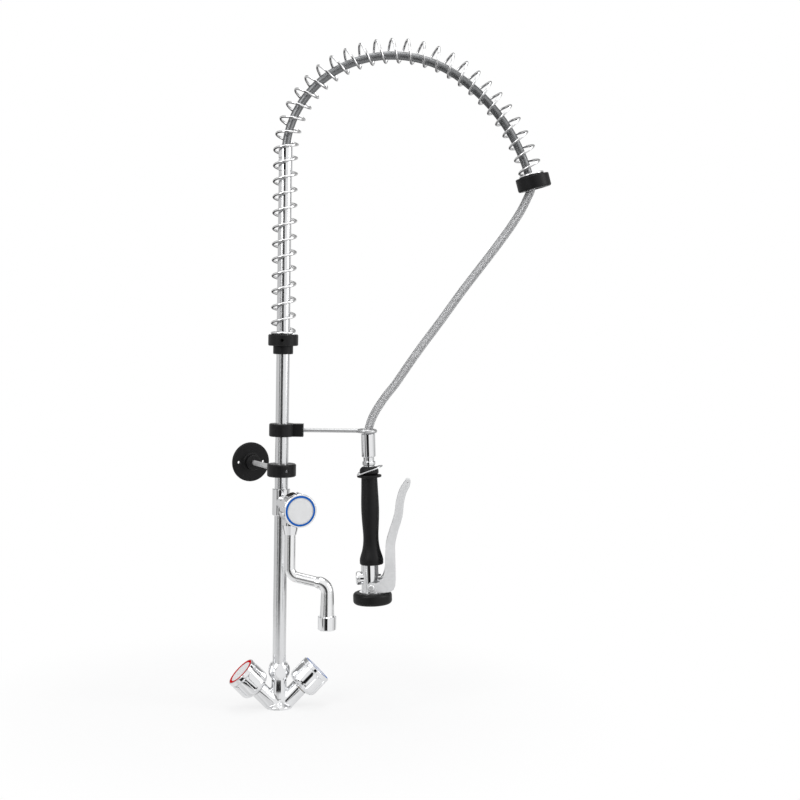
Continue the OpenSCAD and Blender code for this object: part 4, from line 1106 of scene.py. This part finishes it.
@dataclass
class Overhead(Assembly):
    """The spring guard, its two black ends and the hose inside and below it.

    The route holds the hanging hose's points in the overhead plane, in millimetres.
    """

    finishes = {BLACK: "spring_collar spring_cap", CHROME: "hose_nut", RUBBER: "hose_gasket"}
    line: OverheadLine = field(default_factory=OverheadLine)
    wire: float = 3.75 * MM
    coil: float = 38.2 * MM
    turns: int = 38
    pitch: float = 23.6 * MM
    closed: float = 0.7
    soften: float = 20.0 * MM
    seat: float = 0.3 * MM
    phase: float = math.radians(214.0)
    wire_sides: int = 14
    hose: float = 12.5 * MM
    hose_foot: float = 834.9 * MM
    hose_end: float = 10.0 * MM
    sag: float = 5.7 * MM
    sag_power: float = 1.5
    end_shift: float = 4.0 * MM
    route: tuple[Span, ...] = (
        (368.9, 785), (368, 778.5), (364.4, 770), (355, 750.5), (340, 726), (316, 692),
        (286, 652), (263, 621), (235, 581), (208, 544), (188, 515), (170, 488), (155, 468.5),
        (143, 450.5), (134.8, 435), (130.6, 422), (129.2, 413), (129.3, 406))

    def rise(self, q: float, slope: float) -> float:
        """Climbs from one of the spring's flat ends.

        Args:
            q: Length of wire from that end.
            slope: Height for each metre of wire, once the coils are open.

        Returns:
            How far the wire has climbed along the line.
        """
        flat = math.pi * (self.coil - self.wire) * self.closed
        if q < flat:
            return 0.0
        if q < flat + self.soften:
            return slope * (q - flat) ** 2 / (2 * self.soften)
        return slope * (q - flat - self.soften / 2)

    def wire_line(self, steps: int = 28) -> tuple[list[Vector], list[Vector]]:
        """Winds the spring's wire.

        Args:
            steps: Rings for each turn.

        Returns:
            The wire's centre points, and the direction out from the spring's line at each.
        """
        radius = (self.coil - self.wire) / 2
        turn = math.tau * radius
        total = turn * self.turns
        lift = self.wire / 2 + self.seat
        opened = turn * self.closed + self.soften / 2
        leg_slope = self.pitch / turn
        leg_wire = opened + (self.line.leg - lift) / leg_slope
        arch_slope = (self.line.length - self.line.leg - lift) / (total - leg_wire - opened)
        points, leads = [], []
        count = self.turns * steps
        for k in range(count + 1):
            q = total * k / count
            if q < leg_wire:
                s = lift + self.rise(q, leg_slope)
            else:
                s = self.line.length - lift - self.rise(total - q, arch_slope)
            angle = self.phase + q / radius
            centre = self.line.point(s)
            lead = self.line.point(s, math.cos(angle), -math.sin(angle)) - centre
            leads.append(lead)
            points.append(centre + lead * radius)
        return points, leads

    def inner_line(self, steps: int = 180) -> list[Vector]:
        """Follows the hose through the spring.

        Args:
            steps: How many pieces the line has.

        Returns:
            The hose's centre points.
        """
        first = self.hose_foot - self.line.foot
        last = self.line.length + self.hose_end
        points = []
        for k in range(steps + 1):
            t = k / steps
            hang = max(math.sin(math.pi * t), 0.0) ** self.sag_power
            shift = self.sag * hang + self.end_shift * t * t * (3 - 2 * t)
            points.append(self.line.point(first + (last - first) * t, -shift))
        return points

    def build_spring(self) -> None:
        """Builds the spring from its wire."""
        points, leads = self.wire_line()
        spring = Tube("spring_wire", points, self.wire / 2, self.wire_sides, leads).build()
        self.shop.fit(spring, WIRE, Body.OVERHEAD, "spring")

    def build_hose(self) -> None:
        """Builds the hose inside the spring and the hanging hose."""
        inner = self.inner_line()
        guarded = Tube("inner_hose", inner, self.hose / 2).build()
        # The hose inside the spring wears the braid with painted shade.
        self.shop.fit(guarded, SHADED_BRAID, Body.OVERHEAD, "hose_overhead")
        route = [inner[-1]] + [self.line.place(x * MM, 0.0, z * MM) for x, z in self.route]
        free_line = smooth_line(route, steps=8)
        tube = Tube("hanging_hose", free_line, self.hose / 2)
        free = tube.build()
        self.shop.fit(free, BRAID, Body.OVERHEAD, "hose_free")
        tube.length

    def build(self) -> None:
        """Builds the spring and the hose, and dresses what carries them."""
        super().build()
        self.build_spring()
        self.build_hose()


@dataclass
class SprayGun(Assembly):
    """The gun: swivel, grip, valve, lever, hold ring and spray head."""

    finishes = {CHROME: "gun_sleeve gun_neck valve_body", PIN: "valve_cap lever_pivots",
                STEEL: "gun_tube hold_ring valve_stem valve_spring spray_face spray_screw",
                GRIP: "grip", RUBBER: "bumper valve_seal", CAST: "lever"}


# Studio


@dataclass
class Softbox:
    """An area lamp that looks at the object's middle."""

    name: str
    place: tuple[float, float, float]
    size: Span
    watts: float

    def build(self, aim: Vector) -> None:
        """Adds the lamp.

        Args:
            aim: The point that it looks at.
        """
        lamp = bpy.data.lights.new(self.name, "AREA")
        lamp.shape = "RECTANGLE"
        lamp.size, lamp.size_y = self.size
        lamp.energy = self.watts
        made = bpy.data.objects.new(self.name, lamp)
        made.location = self.place
        made.rotation_euler = (aim - Vector(self.place)).to_track_quat("-Z", "Y").to_euler()
        bpy.context.scene.collection.objects.link(made)


@dataclass
class Camera:
    """A level camera with a raised lens, in metres and degrees.

    It stands at a turn round the riser and looks past it, a little to the right.
    """

    turned: float = TURNED
    distance: float = 2.2
    height: float = 0.6075
    across: float = 0.1744
    roll: float = 0.73
    lens: float = 66.0
    sensor: float = 36.0
    shift: float = -0.120625

    @property
    def right(self) -> Vector:
        """The level direction to its right."""
        turn = math.radians(self.turned)
        return Vector((math.cos(turn), math.sin(turn), 0.0))

    @property
    def ahead(self) -> Vector:
        """The level direction in which it looks."""
        return UP.cross(self.right)

    def build(self) -> None:
        """Adds the camera to the scene."""
        roll = math.radians(self.roll)
        side = self.right * math.cos(roll) + UP * math.sin(roll)
        over = UP * math.cos(roll) - self.right * math.sin(roll)
        data = bpy.data.cameras.new("camera")
        data.lens, data.sensor_width = self.lens, self.sensor
        data.sensor_fit = "HORIZONTAL"
        data.shift_y = self.shift
        data.clip_start = 50.0 * MM
        made = bpy.data.objects.new("camera", data)
        place = self.right * self.across - self.ahead * self.distance + UP * self.height
        turn = Matrix((side, over, -self.ahead)).transposed().to_4x4()
        made.matrix_world = Matrix.Translation(place) @ turn
        bpy.context.scene.collection.objects.link(made)
        bpy.context.scene.camera = made


@dataclass
class Floor:
    """The white floor, which keeps the object's shadow and fades to plain white at its rim.

    Mirror rays see it in the studio's tones, with a dark patch in front of the mixer: painted
    reflections that the camera doesn't see. The fade is given in shares of the table's radius.
    """

    front: Vector
    table: float = 0.62
    sides: int = 64
    paint: Colour = (0.9, 0.9, 0.9)
    fade: Span = (0.4, 0.9)
    shown: float = 0.72
    # Where the painted dark reflection lies and how dark it is.
    painted_dark_near: Span = (0.095, 0.11)
    painted_dark_far: Span = (0.17, 0.2)
    painted_dark_side: Span = (0.8, 0.84)
    painted_dark_tone: Colour = (0.02, 0.02, 0.02)
    mirrored: Span = (0.25, 0.68)

    def build(self) -> None:
        """Adds the floor."""
        turns = [math.tau * i / self.sides for i in range(self.sides)]
        rim = [Vector((math.cos(t), math.sin(t), 0.0)) * self.table for t in turns]
        plane = mesh_object("floor", rim, [list(range(self.sides))])
        made = bpy.data.materials.new("floor_white")
        self.shade(Graph(emptied(made)))
        plane.data.materials.append(made)

    def shade(self, g: Graph) -> None:
        """Adds the floor's nodes.

        Args:
            g: The floor's graph.
        """
        place = g.add("TexCoord").outputs["Object"]
        reach = g.fill(g.add("VectorMath", operation="LENGTH"), place).outputs["Value"]
        ray = g.add("LightPath").outputs
        facing = g.math("DIVIDE", g.along(place, self.front), reach)
        # Painted reflection: a dark patch in front of the mixer that only mirror rays see.
        painted_dark = g.math("MULTIPLY", g.window(reach, self.painted_dark_near, self.painted_dark_far),
                     g.ramp(facing, *self.painted_dark_side))
        # Painted reflection: mirror rays see the floor in the room's tones.
        tone = g.vary(RoomTones.use(g, Vector=place)["Tone"], *self.mirrored)
        glow = g.fill(g.add("Emission"), g.mix(
            ray["Is Glossy Ray"], PLAIN_WHITE, g.mix(painted_dark, tone, self.painted_dark_tone)))
        matt = g.fill(g.add("BsdfDiffuse"), rgba(self.paint))
        seen = g.math("MAXIMUM", ray["Is Camera Ray"], g.math(
            "MAXIMUM", ray["Is Glossy Ray"], ray["Is Transmission Ray"]))
        start, end = (share * self.table for share in self.fade)
        plain = g.math("MULTIPLY", seen, g.ramp(reach, start, end, self.shown, 1.0))
        share = g.math("MAXIMUM", plain, g.math("MULTIPLY", painted_dark, ray["Is Glossy Ray"]))
        blend = g.fill(g.add("MixShader"), share, matt.outputs[0], glow.outputs[0])
        g.fill(g.add("OutputMaterial"), blend.outputs[0])


@dataclass
class Room:
    """The room round the object: white to the camera, and toned for the metal to mirror.

    Heights and directions are the numbers of a look direction of length 1. A look away from
    the camera is 1 behind the object and -1 in front of it.
    """

    right: Vector
    ahead: Vector
    fill_light: Colour = (0.58, 0.58, 0.585)
    ceiling: Span = (0.35, 0.6)
    ceiling_turn: tuple[float, float, float, float] = (-0.5, 0.3, 0.92, 0.62)
    wall_above: Span = (0.2, 0.28)
    wall_below: Span = (-0.34, -0.27)
    wall_front: Span = (-0.2, 0.0)
    wall_tone: Colour = (0.9, 0.9, 0.9)
    under: Span = (-0.4, -0.25)
    under_left: Span = (-0.2, 0.0)
    under_tone: Colour = (0.05, 0.05, 0.05)
    lintel_low: Span = (0.22, 0.3)
    lintel_high: Span = (0.68, 0.85)
    lintel_back: Span = (0.2, 0.4)
    lintel_tone: Colour = (0.3, 0.3, 0.3)

    def build(self) -> None:
        """Surrounds the object with the room."""
        world = bpy.data.worlds.new("studio")
        bpy.context.scene.world = world
        g = Graph(emptied(world))
        look = g.add("TexCoord").outputs["Generated"]
        ray = g.add("LightPath").outputs
        plain = g.mix(ray["Is Glossy Ray"], self.fill_light, self.mirrored(g, look))
        shown = g.mix(g.math("MAXIMUM", ray["Is Camera Ray"], ray["Is Transmission Ray"]),
                      plain, PLAIN_WHITE)
        light = g.fill(g.add("Background"), shown)
        g.fill(g.add("OutputWorld"), light.outputs[0])

    def mirrored(self, g: Graph, look: Socket) -> Socket:
        """Draws what the metal mirrors.

        Args:
            g: The world's graph.
            look: The direction's socket.

        Returns:
            The tone's socket.
        """
        height = g.axes(look)[2]
        behind = g.along(look, self.ahead)
        level = g.math("MAXIMUM", g.ramp(height, *self.wall_above),
                       g.ramp(height, *self.wall_below, 1.0, 0.0))
        front = g.math("MULTIPLY", level, g.ramp(behind, *self.wall_front, 1.0, 0.0))
        wall = g.mix(front, RoomTones.use(g, Vector=look)["Tone"], self.wall_tone)
        room = g.mix(g.ramp(height, *self.ceiling), wall, g.ramp(behind, *self.ceiling_turn))
        under = g.math("MULTIPLY", g.ramp(height, *self.under, 1.0, 0.0),
                       g.ramp(g.along(look, -self.right), *self.under_left))
        room = g.mix(under, room, self.under_tone)
        lintel = g.math("MULTIPLY", g.window(height, self.lintel_low, self.lintel_high),
                        g.ramp(behind, *self.lintel_back))
        return g.mix(lintel, room, self.lintel_tone)


@dataclass
class Studio:
    """The camera, the floor, the room and the lamps."""

    camera: Camera = field(default_factory=Camera)
    aim: tuple[float, float, float] = (0.12, 0.0, 0.5)
    lamps: tuple[Softbox, ...] = (
        Softbox("left_box", (-1.5, -1.1, 1.5), (0.9, 1.6), 13.0),
        Softbox("right_box", (1.9, -1.0, 1.2), (0.9, 1.6), 12.0),
        Softbox("top_box", (0.2, 0.1, 2.4), (1.6, 1.6), 16.0),
    )

    def build(self) -> None:
        """Sets up the studio."""
        self.camera.build()
        Floor(-self.camera.ahead).build()
        Room(self.camera.right, self.camera.ahead).build()
        for lamp in self.lamps:
            lamp.build(Vector(self.aim))
        bpy.context.scene.view_settings.view_transform = "Standard"


def main() -> None:
    """Builds the scene."""
    logging.basicConfig(level=logging.INFO, format="%(name)s %(message)s")
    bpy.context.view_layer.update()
    shop = Workshop()
    for part in (Mixer, SideTap, Brackets, Overhead, SprayGun):
        part(shop).build()
        LOG.info("%s is built", part.__name__)
    Studio().build()


if __name__ == "__main__":
    main()
